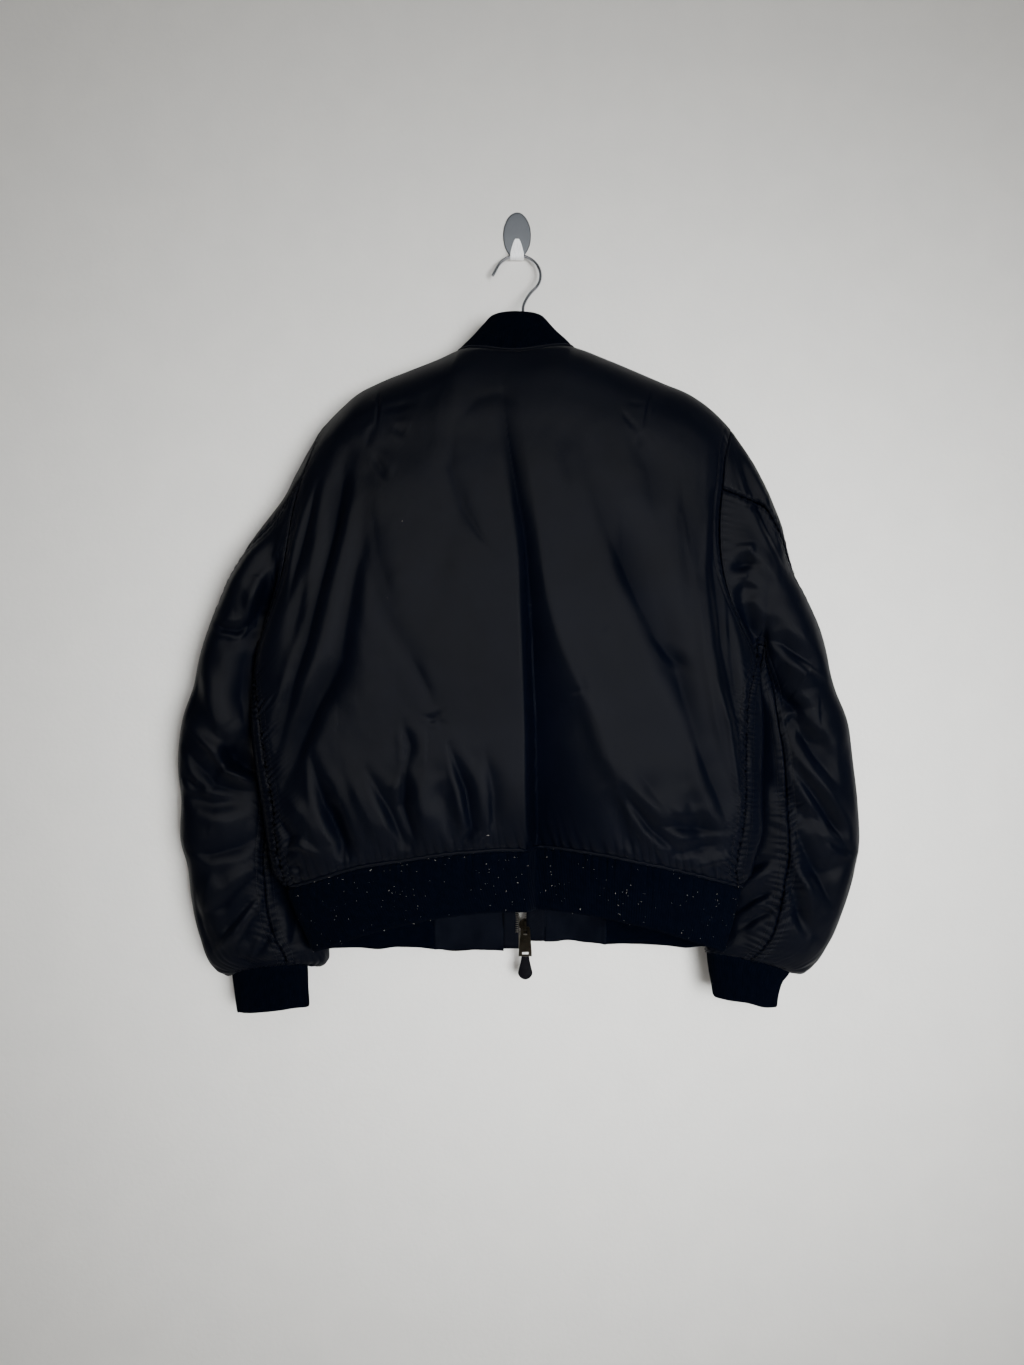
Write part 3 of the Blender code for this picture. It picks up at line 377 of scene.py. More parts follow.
def sleeve_base(side, angle, s):
    """The sleeve's outer surface without folds, from armhole (s 0) to cuff (s 1)."""
    angle, s = np.broadcast_arrays(np.asarray(angle, float), np.asarray(s, float))
    stations, _ = sleeve_stations(side)
    loops = sleeve_loops(side, angle)
    slopes = np.gradient(loops, stations, axis=0)
    i = np.clip(np.searchsorted(stations, s, side="right") - 1, 0, len(stations) - 2)
    pick = np.broadcast_to(i[None, ..., None], (1,) + i.shape + (3,))
    here, there = (np.take_along_axis(loops, pick + d, 0)[0] for d in (0, 1))
    rise, fall = (np.take_along_axis(slopes, pick + d, 0)[0] for d in (0, 1))
    step = (stations[i + 1] - stations[i])[..., None]
    return hermite((s - stations[i])[..., None] / step, step, here, rise, there, fall)


# ---- rib trims ------------------------------------------------------------------------
def hem_base(angle, s):
    """The hem band's outer surface, from its seam (s 0) to its lower edge (s 1)."""
    x, y, _, cosine = ring_point(angle, *read(HEM, RING_COLUMNS, s))
    drop = np.where(np.asarray(angle) > 0, FRONT_BOTTOM_DROP[1], FRONT_BOTTOM_DROP[-1])
    bottom = HEM_BOTTOM_Z + np.where(cosine >= 0, BACK_BOTTOM_RISE, -drop) * cosine**2
    return points_of(x, y, mix(hem_seam_z(cosine), bottom, s))


def hem_edge_angle(side, x, s):
    """Angle at which the hem's front part reaches X."""
    return side * front_end_angle(side, x, *read(HEM, "edge_left edge_right", s))


def collar_base(angle, s):
    """The collar's outer surface, from the neck seam (s 0) to its free edge (s 1)."""
    cosine, sine = cos_sin(angle)
    low_x = NECK_X + NECK_HALF * sine
    low_y, low_z = neck_line(low_x, cosine >= 0)
    top_x = NECK_X + COLLAR_TOP_HALF * sine
    top_y = COLLAR_TOP_Y - COLLAR_TOP_DEPTH * cosine
    top_z = spline(COLLAR_TOP["angle"], COLLAR_TOP["z"], np.abs(angle))
    return points_of(mix(low_x, top_x, s), mix(low_y, top_y, s),
                     mix(low_z + COLLAR_GAP, top_z, s))


def collar_end_angle(side):
    return front_end_angle(side, COLLAR_END_X[side], NECK_X - NECK_HALF, NECK_X + NECK_HALF)


def cuff_base(side, angle, s):
    """A cuff's outer surface, from inside the sleeve (s below 0) to its free edge (s 1)."""
    outer_x, outer_z, inner_x, inner_z, depth = read(
        CUFF[side], "outer_x outer_z inner_x inner_z depth", s)
    cosine, sine = cos_sin(angle)
    x = (outer_x + inner_x) / 2 + cosine * (outer_x - inner_x) / 2
    z = (outer_z + inner_z) / 2 + cosine * (outer_z - inner_z) / 2
    return points_of(x, CUFF_Y - depth * sine, z)


# ---- creases: X, Z along each, half width, height, share of raised lips ----
BACK_CREASES = [
    # beside the left armhole, and the long fold from there to the side seam
    ([(-244, -335), (-257, -391), (-268, -439), (-276, -475)], 5, -2.6, 0.5),
    ([(-212, -335), (-221, -395), (-232, -439), (-253, -530), (-281, -610), (-295, -637)],
     7, -3.2, 0.4),
    ([(-228, -360), (-239, -408), (-251, -462), (-263, -510)], 9, 2.4, 0),
    ([(-186, -415), (-158, -494), (-126, -546), (-106, -590), (-88, -630)], 11, -1.5, 0.3),
    ([(-202, -494), (-209, -554), (-253, -634), (-273, -685), (-289, -725)], 14, -3.6, 0.2),
    # right of the middle, and beside the right armhole
    ([(73, -264), (85, -328), (106, -391), (139, -471), (166, -527), (194, -566), (214, -630),
      (233, -673)], 12, -2.0, 0.3),
    ([(202, -376), (218, -471), (226, -558), (242, -637), (269, -733)], 8, 2.2, 0),
    ([(242, -347), (238, -439), (245, -534), (261, -614), (273, -685)], 6, -3.0, 0.4),
    ([(254, -480), (258, -552), (268, -624)], 4, -1.8, 0.3),
    ([(165, -528), (181, -546), (207, -566)], 5, -1.4, 0.4),
    ([(70, -570), (106, -665), (150, -720), (178, -770)], 15, 2.0, 0),
    # upper back: arched fold below the collar and the soft lengths that hang from it
    ([(-69, -257), (-48, -235), (-22, -228), (4, -244)], 9, -1.4, 0),
    ([(-76, -262), (-80, -318), (-66, -367), (-48, -400), (-32, -419)], 7, -2.2, 0),
    ([(-60, -378), (-45, -403), (-30, -420)], 2.2, -0.9, 0.2),
    ([(-178, -301), (-157, -334)], 4, -1.2, 0.4),
    ([(-152, -266), (-137, -280)], 4, -0.9, 0.4),
    ([(-211, -310), (-226, -373), (-233, -428)], 12, -2.0, 0.2),
    ([(-176, -365), (-168, -428), (-148, -484)], 12, -1.8, 0.2),
    ([(60, -255), (56, -302), (68, -350)], 11, -1.3, 0.2),
    ([(127, -263), (158, -318), (169, -389)], 13, -1.5, 0.2),
    ([(127, -373), (127, -436), (150, -499)], 12, -2.0, 0.2),
    ([(198, -334), (209, -405), (215, -484)], 12, -1.6, 0.2),
    ([(98, -520), (111, -509)], 2.4, -0.6, 0.2),
    # lower left
    ([(-264, -568), (-278, -622), (-295, -682)], 12, -3.4, 0.2),
    ([(-225, -575), (-237, -630), (-261, -690)], 9, 2.2, 0),
    ([(-247, -669), (-231, -724), (-209, -769), (-211, -798)], 6.5, -5.4, 0.3),
    ([(-284, -713), (-253, -738), (-233, -777)], 8, 2.6, 0),
    ([(-295, -733), (-273, -763), (-278, -795)], 5.5, -4.2, 0.3),
    ([(-203, -682), (-178, -733), (-150, -784)], 12, 3.2, 0),
    ([(-180, -682), (-151, -733), (-131, -777)], 5.5, -3.6, 0.3),
    ([(-136, -627), (-128, -655), (-133, -682)], 5, -2.4, 0.4),
    ([(-133, -677), (-136, -724), (-120, -773)], 5.5, -4.4, 0.3),
    ([(-108, -666), (-112, -716), (-100, -768)], 11, 2.0, 0),
    ([(-81, -654), (-61, -707), (-54, -751), (-73, -784)], 5.5, -5.2, 0.35),
    ([(-90, -697), (-73, -733), (-67, -768)], 9, 2.2, 0),
    ([(-37, -661), (-28, -710), (-26, -763)], 7, -2.8, 0.2),
    ([(-292, -780), (-261, -773), (-231, -788)], 4, 2.8, 0),
    ([(-281, -799), (-252, -804)], 4, -2.2, 0.4),
    # the small star of wrinkles and the fine lines above it
    ([(-128, -547), (-108, -585), (-100, -604)], 4, -1.0, 0.2),
    ([(-115, -618), (-82, -630)], 3, -0.9, 0.2),
    ([(-108, -629), (-87, -613)], 3, -1.0, 0.4),
    # right of the middle
    ([(74, -569), (79, -586), (80, -599)], 2.4, -0.8, 0.2),
    ([(63, -593), (82, -586)], 2.4, -0.6, 0.2),
    ([(135, -674), (170, -721), (207, -760)], 9, -2.2, 0.1),
    ([(123, -705), (157, -752), (198, -787)], 5.5, -3.8, 0.4),
    ([(149, -713), (188, -733), (229, -730)], 12, 2.4, 0),
    ([(160, -748), (199, -752), (248, -757)], 6, -3.2, 0.2),
    ([(198, -804), (235, -792), (271, -787)], 5, 3.2, 0),
    ([(173, -787), (207, -780), (240, -771)], 5, -2.4, 0.4),
    ([(235, -568), (253, -630), (264, -701), (268, -752)], 5, 2.6, 0),
    ([(210, -646), (235, -705), (253, -752)], 9, -2.4, 0.2),
    ([(188, -560), (207, -622), (223, -677)], 9, -2.2, 0.2),
    # shoulder darts and the small folds that fan out from them
    ([(-170, -216), (-171, -240), (-172, -270)], 1.3, -1.4, 0.2),
    ([(-170, -246), (-150, -243), (-126, -240)], 4, -0.7, 0.3),
    ([(-172, -262), (-180, -276), (-183, -292)], 4, -0.7, 0.3),
    ([(165, -214), (160, -240), (153, -272)], 1.3, -1.4, 0.2),
    ([(126, -248), (136, -262), (147, -274)], 2.4, -1.1, 0.1),
    ([(132, -238), (146, -239), (158, -237)], 2.8, -1.0, 0.1),
    ([(153, -276), (147, -292)], 4, -0.8, 0.4)]
FULL_SHADE_DEPTH = 6.0      # depth at which a fold's painted shade is full
CENTRE_WALL = 14.0     # width of the centre valley's left side
# by height: X of the valley's bottom and of the ridge on its right, and its depth
CENTRE_FOLD = table("z valley crest depth", [
    (-200, -20, 0, 0), (-278, -12, 8, 3), (-340, -2, 18, 5), (-409, 9, 28, 8),
    (-481, 14, 38, 12), (-552, 18, 60, 18), (-624, 21, 94, 25), (-695, 22, 116, 31),
    (-755, 23, 136, 35), (-830, 24, 146, 35)])
CENTRE_FOLD["drop"] = -CENTRE_FOLD["z"]
FRONT_CREASES = [
    ([(-232, -330), (-226, -420), (-240, -520), (-262, -600)], 7, -3.4, 0.4),
    ([(-196, -300), (-186, -400), (-196, -500), (-216, -610)], 10, -3.0, 0.3),
    ([(-150, -340), (-140, -460), (-150, -560)], 12, -2.6, 0.3),
    ([(-70, -330), (-66, -450), (-60, -560), (-58, -660)], 12, -2.8, 0.2),
    ([(-180, -660), (-164, -720), (-150, -790)], 8, -4.0, 0.5),
    ([(-120, -690), (-112, -740), (-108, -790)], 7, -3.6, 0.5),
    ([(-84, -650), (-70, -710), (-60, -780)], 8, -3.0, 0.4),
    ([(-240, -700), (-222, -750), (-206, -800)], 7, -3.8, 0.5),
    ([(-40, -700), (-36, -760)], 7, -2.2, 0.4),
    ([(226, -330), (220, -420), (232, -520), (254, -600)], 7, -3.4, 0.4),
    ([(190, -300), (178, -400), (190, -500), (206, -610)], 10, -3.0, 0.3),
    ([(140, -340), (132, -460), (142, -560)], 12, -2.6, 0.3),
    ([(78, -330), (74, -450), (70, -560), (66, -660)], 12, -2.8, 0.2),
    ([(176, -660), (160, -720), (148, -790)], 8, -4.0, 0.5),
    ([(118, -690), (112, -740), (106, -790)], 7, -3.6, 0.5),
    ([(92, -650), (78, -710), (72, -780)], 8, -3.0, 0.4),
    ([(232, -700), (216, -750), (200, -800)], 7, -3.8, 0.5),
    ([(52, -690), (48, -760)], 7, -2.2, 0.4)]
SLEEVE_CREASES = {
    (-1, "back"): [
        # sleeve head: its rounded ridge, the pocket beside the armhole and the crease below
        ([(-299, -392), (-323, -420), (-348, -459), (-366, -490)], 13, 4.5, 0),
        ([(-294, -433), (-299, -455), (-311, -483), (-327, -506)], 8, -8.5, 0.5),
        ([(-375, -504), (-361, -513), (-344, -516), (-327, -507)], 4, -3.6, 0.5),
        ([(-323, -518), (-334, -554), (-339, -596), (-334, -638)], 13, -5.0, 0.2),
        ([(-383, -547), (-378, -596), (-363, -635), (-341, -656)], 11, 3.2, 0),
        ([(-393, -564), (-397, -603), (-408, -631)], 8, -2.4, 0.2),
        # the sickle-shaped fold at the elbow
        ([(-404, -635), (-375, -659), (-358, -686), (-334, -698), (-311, -700)], 7, 5.5, 0),
        ([(-361, -649), (-347, -675), (-327, -689), (-309, -678)], 9, -7.0, 0.3),
        ([(-408, -659), (-390, -682), (-370, -705), (-344, -711), (-320, -714)], 7, -5.0, 0.3),
        ([(-411, -694), (-396, -706), (-376, -710)], 5, -2.6, 0.4),
        ([(-390, -737), (-358, -747), (-323, -740)], 15, 2.6, 0),
        ([(-403, -786), (-376, -790), (-341, -782), (-314, -766)], 7, -3.4, 0.3),
        # forearm: folds that run down and out from the gathers
        ([(-309, -807), (-334, -830), (-361, -854), (-389, -866)], 8, -4.4, 0.3),
        ([(-306, -832), (-332, -862), (-356, -893), (-375, -913)], 5, 4.0, 0),
        ([(-310, -854), (-328, -879), (-347, -908)], 5, -4.2, 0.4),
        ([(-299, -875), (-311, -899), (-325, -921)], 4, -3.0, 0.4),
        ([(-372, -807), (-382, -842), (-387, -877)], 10, 2.6, 0),
        ([(-396, -849), (-387, -892), (-372, -924)], 8, -3.0, 0.3),
        ([(-355, -914), (-327, -928), (-292, -924)], 6, -2.8, 0.3),
        ([(-263, -842), (-255, -877), (-255, -906)], 7, -3.2, 0.3),
        ([(-281, -849), (-276, -877), (-279, -913)], 5, -2.2, 0.3)],
    (-1, "front"): [
        ([(-318, -470), (-345, -520), (-380, -560)], 8, -3.6, 0.4),
        ([(-300, -600), (-340, -640), (-390, -650)], 8, -3.6, 0.4),
        ([(-296, -680), (-330, -706), (-380, -700)], 7, -3.4, 0.4),
        ([(-296, -760), (-340, -776), (-396, -760)], 8, -3.0, 0.3),
        ([(-284, -830), (-320, -858), (-356, -900)], 6, -3.0, 0.4),
        ([(-270, -880), (-300, -900), (-330, -930)], 6, -2.6, 0.4)],
    (1, "back"): [
        # sleeve head: long pleats above the seam
        ([(270, -284), (288, -341), (311, -396), (325, -431)], 6, -3.6, 0.4),
        ([(280, -290), (304, -351), (324, -408)], 6, 2.6, 0),
        ([(263, -291), (272, -334), (287, -366)], 5, -2.4, 0.4),
        # upper arm: two pockets beside the armhole, and the full lobe between them and the elbow
        ([(256, -391), (276, -408), (303, -434), (332, -466)], 15, 3.4, 0),
        ([(256, -446), (265, -439), (280, -434), (291, -436)], 6, -5.4, 0.5),
        ([(258, -469), (277, -453), (297, -462)], 6, 3.2, 0),
        ([(256, -483), (267, -490), (286, -511), (301, -528)], 7, -7.0, 0.5),
        ([(297, -469), (325, -496), (357, -525), (376, -545)], 17, 3.8, 0),
        ([(303, -525), (325, -532), (353, -553), (380, -573)], 6, -4.0, 0.3),
        ([(318, -549), (343, -562), (371, -587)], 10, 3.6, 0),
        ([(303, -553), (317, -587), (332, -605), (356, -611)], 10, -8.0, 0.3),
        ([(331, -601), (343, -617), (329, -634)], 7, -4.0, 0.3),
        ([(357, -622), (381, -645), (401, -672)], 12, 3.6, 0),
        ([(343, -631), (363, -666), (390, -700)], 7, -4.4, 0.3),
        ([(336, -658), (357, -687), (385, -718), (408, -749)], 8, 3.2, 0),
        ([(338, -683), (362, -715), (390, -756), (414, -793)], 5, -4.6, 0.5),
        ([(339, -711), (363, -749), (384, -779)], 8, 3.0, 0),
        ([(381, -774), (398, -783), (415, -790)], 4, -2.6, 0.5),
        # forearm
        ([(336, -742), (353, -786), (376, -831), (391, -862)], 8, -5.0, 0.3),
        ([(334, -786), (350, -821), (363, -856)], 7, 3.6, 0),
        ([(329, -811), (342, -846), (350, -883)], 6, -4.0, 0.4),
        ([(360, -862), (367, -890), (357, -911)], 8, 2.6, 0),
        # the strip between the side seam and the sleeve's seam
        ([(296, -573), (303, -629), (301, -693), (298, -756)], 10, -5.0, 0.1),
        ([(266, -849), (288, -827), (317, -810)], 6, 4.0, 0),
        ([(262, -829), (286, -810), (315, -797)], 5, -3.6, 0.4),
        ([(267, -869), (291, -848), (318, -832)], 5, -4.0, 0.4),
        ([(273, -887), (294, -869), (319, -856)], 5, -3.0, 0.4)],
    (1, "front"): [
        ([(300, -470), (328, -520), (366, -560)], 8, -3.6, 0.4),
        ([(286, -600), (330, -640), (384, -650)], 8, -3.6, 0.4),
        ([(280, -680), (320, -706), (386, -700)], 7, -3.4, 0.4),
        ([(280, -760), (330, -776), (400, -760)], 8, -3.0, 0.3),
        ([(270, -830), (310, -858), (346, -900)], 6, -3.0, 0.4),
        ([(256, -880), (290, -900), (320, -930)], 6, -2.6, 0.4)]}


# ---- noise and small forms ----------------------------------------------------------------
LATTICE = 128                # random values each way before the noise repeats
NOISE_START = 37.3, 11.7
CREASE_SIDES = 0.72, 1.22    # share of a crease's width on its steep and on its slow side
CREASE_REACH = 4             # half widths at which a crease has died away
LIP_PLACE, LIP_WIDTH = 2.1, 1.2     # of the raised lips, in widths of the crease
TROUGH_POWER = 1.45          # 2 is a rounded trough, less is a sharper one
CENTRE_STEEP, CENTRE_SLOW = 1.7, 1.2    # how the centre valley's two sides curve
# painted shade on the centre valley: how strong it is on the slow right side, and the least depth
# it is measured against
CENTRE_SHADE, CENTRE_SHALLOW = 1.15, 4.0
RIDGE_OPEN = -0.35           # how far a ridge stands free: the least value of the painted shade in folds
DENT_DEPTH, DENT_REACH = 0.45, 1.3      # of the cloth along a row of sewing


def noise(x, y, seed):
    """Smooth random heights between -1 and 1, one new value each unit step."""
    lattice = np.random.default_rng(seed).uniform(-1, 1, (LATTICE, LATTICE))
    x, y = np.broadcast_arrays(np.asarray(x, float) + NOISE_START[0],
                               np.asarray(y, float) + NOISE_START[1])
    ix, iy = np.floor(x).astype(int), np.floor(y).astype(int)
    qx, qy = ease(x - ix), ease(y - iy)
    ix, iy, jx, jy = ix % LATTICE, iy % LATTICE, (ix + 1) % LATTICE, (iy + 1) % LATTICE
    return mix(mix(lattice[ix, iy], lattice[jx, iy], qx),
               mix(lattice[ix, jy], lattice[jx, jy], qx), qy)


def creases(x, z, rows):
    """Sharper folds than the solids': a trough or ridge, with lips raised beside it."""
    height = np.zeros_like(x)
    for points, half_width, depth, lips in rows:
        reach = CREASE_REACH * half_width
        low, high = np.min(points, axis=0) - reach, np.max(points, axis=0) + reach
        near = (x > low[0]) & (x < high[0]) & (z > low[1]) & (z < high[1])
        if not near.any():
            continue
        nearest, along, on_right = nearest_on(points, x[near], z[near])
        ends = tapered(along, 0.35, 0.15)
        width = half_width * (0.7 + 0.5 * ends) * np.where(on_right, *CREASE_SIDES)
        shape = np.exp(-(nearest / width) ** (TROUGH_POWER if depth < 0 else 2))
        shape -= lips * np.exp(-((nearest - LIP_PLACE * width) / (LIP_WIDTH * width)) ** 2)
        height[near] += depth * shape * ends
    return height


def centre_fold(x, z):
    """The long valley right of the middle of the back, steep on its left and with a slow rise to
    the diagonal ridge on its right; its height, and the painted shade on it, which also covers the
    slow right side."""
    deepest, crest, depth = read(CENTRE_FOLD, "valley crest depth", -z, "drop")
    left = np.clip((x - deepest + CENTRE_WALL) / CENTRE_WALL, 0, 1)
    right = 1 - np.clip((x - deepest) / (crest - deepest), 0, 1)
    height = -depth * np.where(x < deepest, left**CENTRE_STEEP, right**CENTRE_SLOW)
    # painted shade over the valley's slow right side, in step with its depth
    slow = np.clip(-CENTRE_SHADE * height / np.maximum(depth, CENTRE_SHALLOW), 0, 1)
    return height, np.where(x < deepest, hollow_of(height, FULL_SHADE_DEPTH), slow)


def swell(x, z, seed):
    """Loose undulation of the padded cloth, with a little finer crumple on it."""
    drift = noise(x / 90, z / 140, seed)
    wide = noise(x / 46 + drift, z / 78, seed + 1)
    fine = noise(x / 15 + drift, z / 24, seed + 2)
    ridged = 0.5 - np.abs(noise(x / 26 + drift, z / 44 + drift, seed + 3))
    return 1.4 * wide + 0.14 * fine + 0.35 * ridged


def pucker(away, along, seed, pitch, height, reach, slant=0.25):
    """Uneven small pleats that run off a seam: away from it, along it, in millimetres."""
    wander = noise(along / 31, seed, seed) * 0.9 + noise(along / 12, seed, seed + 1) * 0.35
    phase = 2 * np.pi * ((along + slant * away) / pitch + wander)
    strength = 0.75 + 0.45 * noise(along / 17, seed, seed + 2)
    length = reach * (1 + 0.5 * noise(along / 9, seed, seed + 3))
    fall = np.exp(-(away / length) ** 1.4)
    return height * strength * fall * (np.sin(phase) + 0.25 * np.sin(2 * phase + 1))


def hollow_of(height, full):
    """Painted shade of a point from how deep it lies in a fold: 1 at the full depth."""
    return np.clip(-height / full, RIDGE_OPEN, 1)


def seam_dip(away, depth=1.5, reach=2.6):
    """The panel's edge turning down into its seam."""
    return -depth * np.exp(-(away / reach) ** 2)


def stitch_rows(away, rows):
    """Shallow dents where rows of sewing pull the cloth in."""
    return -sum(DENT_DEPTH * np.exp(-((away - row) / DENT_REACH) ** 2) for row in rows)


# ---- grids --------------------------------------------------------------------------------
def grid_normals(points, wrap=False):
    """Unit normals of a grid of points; its rows run down and its columns run across."""
    down = np.gradient(points, axis=0)
    if wrap:
        across = (np.roll(points, -1, 1) - np.roll(points, 1, 1)) / 2
    else:
        across = np.gradient(points, axis=1)
    out = np.cross(across, down)
    return out / np.maximum(np.linalg.norm(out, axis=-1, keepdims=True), 1e-9)


def orient(base, reference, wrap=False):
    """Grid normals turned to the side on which the reference vectors lie."""
    facing = grid_normals(base, wrap)
    return facing * np.sign((facing * reference).sum(-1).mean())


def run(points, axis):
    """Length along a grid's columns (axis 0) or rows (axis 1), from their start."""
    steps = np.linalg.norm(np.diff(points, axis=axis), axis=-1)
    zero = np.zeros_like(np.take(steps, [0], axis=axis))
    return np.concatenate((zero, np.cumsum(steps, axis=axis)), axis=axis)


def ways_across(base):
    """Ways of a grid's points from its first and from its last column."""
    across = run(base, 1)
    return across, across[:, -1:] - across


def line_length(line):
    """Length along a line of points, from its start."""
    return run(line[None], 1)[0]


def even_shares(row, count):
    """Shares of a row's width at which its points are evenly far apart."""
    length = line_length(row)
    return np.interp(np.linspace(0, length[-1], count), length, np.linspace(0, 1, len(length)))


def at_lengths(length, values, at):
    """Values along a line, read at other lengths."""
    return np.stack([np.interp(at, length, column) for column in values.T], axis=-1)


def smooth_route(points, count):
    """Evenly spaced points on a smooth curve through the given ones."""
    length = line_length(points)
    at = np.linspace(0, length[-1], count)
    return np.stack([spline(length, column, at) for column in points.T], axis=-1)


def closed(index):
    """Point numbers of a grid whose last column joins its first."""
    return np.concatenate((index, index[:, :1]), axis=1)


def quads(index, inward=False):
    """Faces between the rows and columns of a grid of point numbers."""
    a, b, c, d = index[:-1, :-1], index[:-1, 1:], index[1:, 1:], index[1:, :-1]
    corners = (a, d, c, b) if inward else (a, b, c, d)
    return np.stack(corners, axis=-1).reshape(-1, 4).tolist()


def ring_faces(count, sides):
    """Faces of a closed tube of rings, its two ends last."""
    index = np.arange(count * sides).reshape(count, sides)
    return quads(closed(index), True) + [index[0].tolist(), index[-1, ::-1].tolist()]


def link(name, mesh):
    made = bpy.data.objects.new(name, mesh)
    bpy.context.collection.objects.link(made)
    return made


def make_object(name, points, faces, coating, rides="jacket", cloth=None):
    """A piece from points in millimetres; cloth holds its three values: the ways across and along
    for the weave, and the painted shade in folds.
    """
    mesh = bpy.data.meshes.new(name)
    mesh.from_pydata((np.asarray(points) * MM).tolist(), [], faces)
    if cloth is not None:
        values = mesh.attributes.new("cloth", "FLOAT_VECTOR", "POINT")
        values.data.foreach_set("vector", np.asarray(cloth, np.float32).ravel() * MM)
    mesh.materials.append(coating)
    mesh.shade_smooth()
    made = link(name, mesh)
    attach(made, rides)
    return made


def make_shell(name, outer, inner, coating, kind, flip, wrap=False, hollow=0.0, step=(2, 2)):
    """A thin closed wall of cloth from two grids of points; the inner skin is coarser."""
    down, over = step
    inner = inner[::down, ::over]
    o = np.arange(outer[..., 0].size).reshape(outer.shape[:2])
    i = np.arange(inner[..., 0].size).reshape(inner.shape[:2]) + o.size
    if wrap:
        o, i = closed(o), closed(i)
    outside, inside = quads(o), quads(i, True)
    faces = outside + inside
    for c in range(i.shape[1] - 1):
        part = slice(c * over, c * over + over + 1)
        faces.append([*o[0, part][::-1].tolist(), int(i[0, c]), int(i[0, c + 1])])
        faces.append([*o[-1, part].tolist(), int(i[-1, c + 1]), int(i[-1, c])])
    if not wrap:
        for r in range(i.shape[0] - 1):
            part = slice(r * down, r * down + down + 1)
            faces.append([*o[part, 0].tolist(), int(i[r + 1, 0]), int(i[r, 0])])
            faces.append([*o[part, -1][::-1].tolist(), int(i[r, -1]), int(i[r + 1, -1])])
    if flip < 0:
        faces = [face[::-1] for face in faces]
    points = np.concatenate((outer.reshape(-1, 3), inner.reshape(-1, 3)))
    across, along = run(outer, 1), run(outer, 0)
    cloth = np.stack((across, along, hollow + np.zeros_like(across)), axis=-1)
    cloth = np.concatenate((cloth.reshape(-1, 3), cloth[::down, ::over].reshape(-1, 3)))
    made = make_object(name, points, faces, coating, cloth=cloth)
    if kind == "satin":
        made.data.materials.append(LINING)
        skin = np.zeros(len(faces), int)
        skin[len(outside):len(outside) + len(inside)] = 1
        made.data.polygons.foreach_set("material_index", skin)
    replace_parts(made, name.replace("_shell", ""))


# ---- materials ----------------------------------------------------------------------------
class Coating:
    """A material in the making: its methods add nodes and give back their outputs."""

    def __init__(self, name):
        self.made = bpy.data.materials.new(name)
        self.made.use_nodes = True
        self.shader = self.made.node_tree.nodes["Principled BSDF"]

    def fill(self, node, **values):
        """Set a node's properties (lower case) and inputs; another node's output is linked."""
        for key, value in values.items():
            if key[0].islower():
                setattr(node, key, value)
                continue
            socket = node.inputs[key.replace("_", " ")]
            if isinstance(value, bpy.types.NodeSocket):
                self.made.node_tree.links.new(value, socket)
            else:
                socket.default_value = value
        return node

    def add(self, kind, **values):
        return self.fill(self.made.node_tree.nodes.new("ShaderNode" + kind), **values)

    def finish(self, **values):
        self.fill(self.shader, **values)
        return self.made

    def cloth(self):
        """Ways across and along the cloth, and the painted shade that a fold's depth gives it."""
        return self.add("Attribute", attribute_name="cloth").outputs["Vector"]

    def place(self):
        return self.add("TexCoord").outputs["Object"]

    def stretched(self, source, scale):
        return self.add("Mapping", Vector=source, Scale=scale).outputs["Vector"]

    def noise(self, at, **values):
        return self.add("TexNoise", Vector=at, **values).outputs["Fac"]

    def wave(self, at, **values):
        return self.add("TexWave", Vector=at, **values).outputs["Fac"]

    def remap(self, value, low, high, from_low=0.3, from_high=0.7):
        return self.add("MapRange", Value=value, From_Min=from_low, From_Max=from_high,
                        To_Min=low, To_Max=high).outputs["Result"]

    def bump(self, height, distance, strength, **after):
        return self.add("Bump", Height=height, Distance=distance, Strength=strength,
                        **after).outputs["Normal"]

    def ramp(self, value, *stops):
        """Colours by value; each stop is a place and its colour."""
        node = self.add("ValToRGB", Fac=value)
        elements = node.color_ramp.elements
        while len(elements) < len(stops):
            elements.new(0.5)
        for element, (at, colour) in zip(elements, stops):
            element.position = at
            element.color = (*colour, 1)
        return node.outputs["Color"]


SATIN_GLOSS = 0.195, 0.012    # on open cloth, and at the bottom of a fold, where the painted shade is full
EDGE_TURN = 0.30, 0.74        # how far the weave is turned away where its gloss fades, and is gone
EDGE_GLOSS = 0.06             # share of its gloss that is left there


def make_satin(name):
    """Black satin nylon: a fine slanted weave, soft crumple and gloss that a painted shade takes
    away in folds.
    """
    made = Coating(name)
    cloth = made.cloth()
    blotch = made.noise(cloth, Scale=9.0, Detail=4.0, Roughness=0.6)
    worn = made.noise(cloth, Scale=38.0, Detail=5.0, Roughness=0.65)
    weave = made.wave(cloth, Scale=430.0, Distortion=0.6, Detail=2.0,
                      bands_direction="DIAGONAL")
    crumple = made.noise(made.stretched(cloth, (1.0, 0.55, 1.0)), Scale=80.0, Detail=3.0,
                         Roughness=0.5)
    # painted shade: the cloth's third value, high deep in folds and pleats, takes the gloss away
    hollow = made.add("SeparateXYZ", Vector=cloth).outputs["Z"]
    turned = made.add("LayerWeight", Blend=0.5).outputs["Facing"]
    gloss = made.add("Math", operation="MULTIPLY")
    for socket, value in zip(gloss.inputs, (made.remap(hollow, *SATIN_GLOSS, 0.0, MM),
                                            made.remap(turned, 1.0, EDGE_GLOSS, *EDGE_TURN))):
        made.made.node_tree.links.new(value, socket)
    made.finish(
        Base_Color=made.ramp(blotch, (0.3, (0.0006, 0.0010, 0.0026)),
                             (0.7, (0.0010, 0.0015, 0.0038))),
        Roughness=made.remap(worn, 0.29, 0.35),
        Normal=made.bump(weave, 0.00006, 0.15, Normal=made.bump(crumple, 0.0008, 0.25)),
        Specular_IOR_Level=SATIN_GLOSS[0], Sheen_Weight=0.001, Sheen_Roughness=0.4,
        Sheen_Tint=(0.6, 0.7, 1.0, 1))
    return made.finish(Specular_IOR_Level=gloss.outputs["Value"])


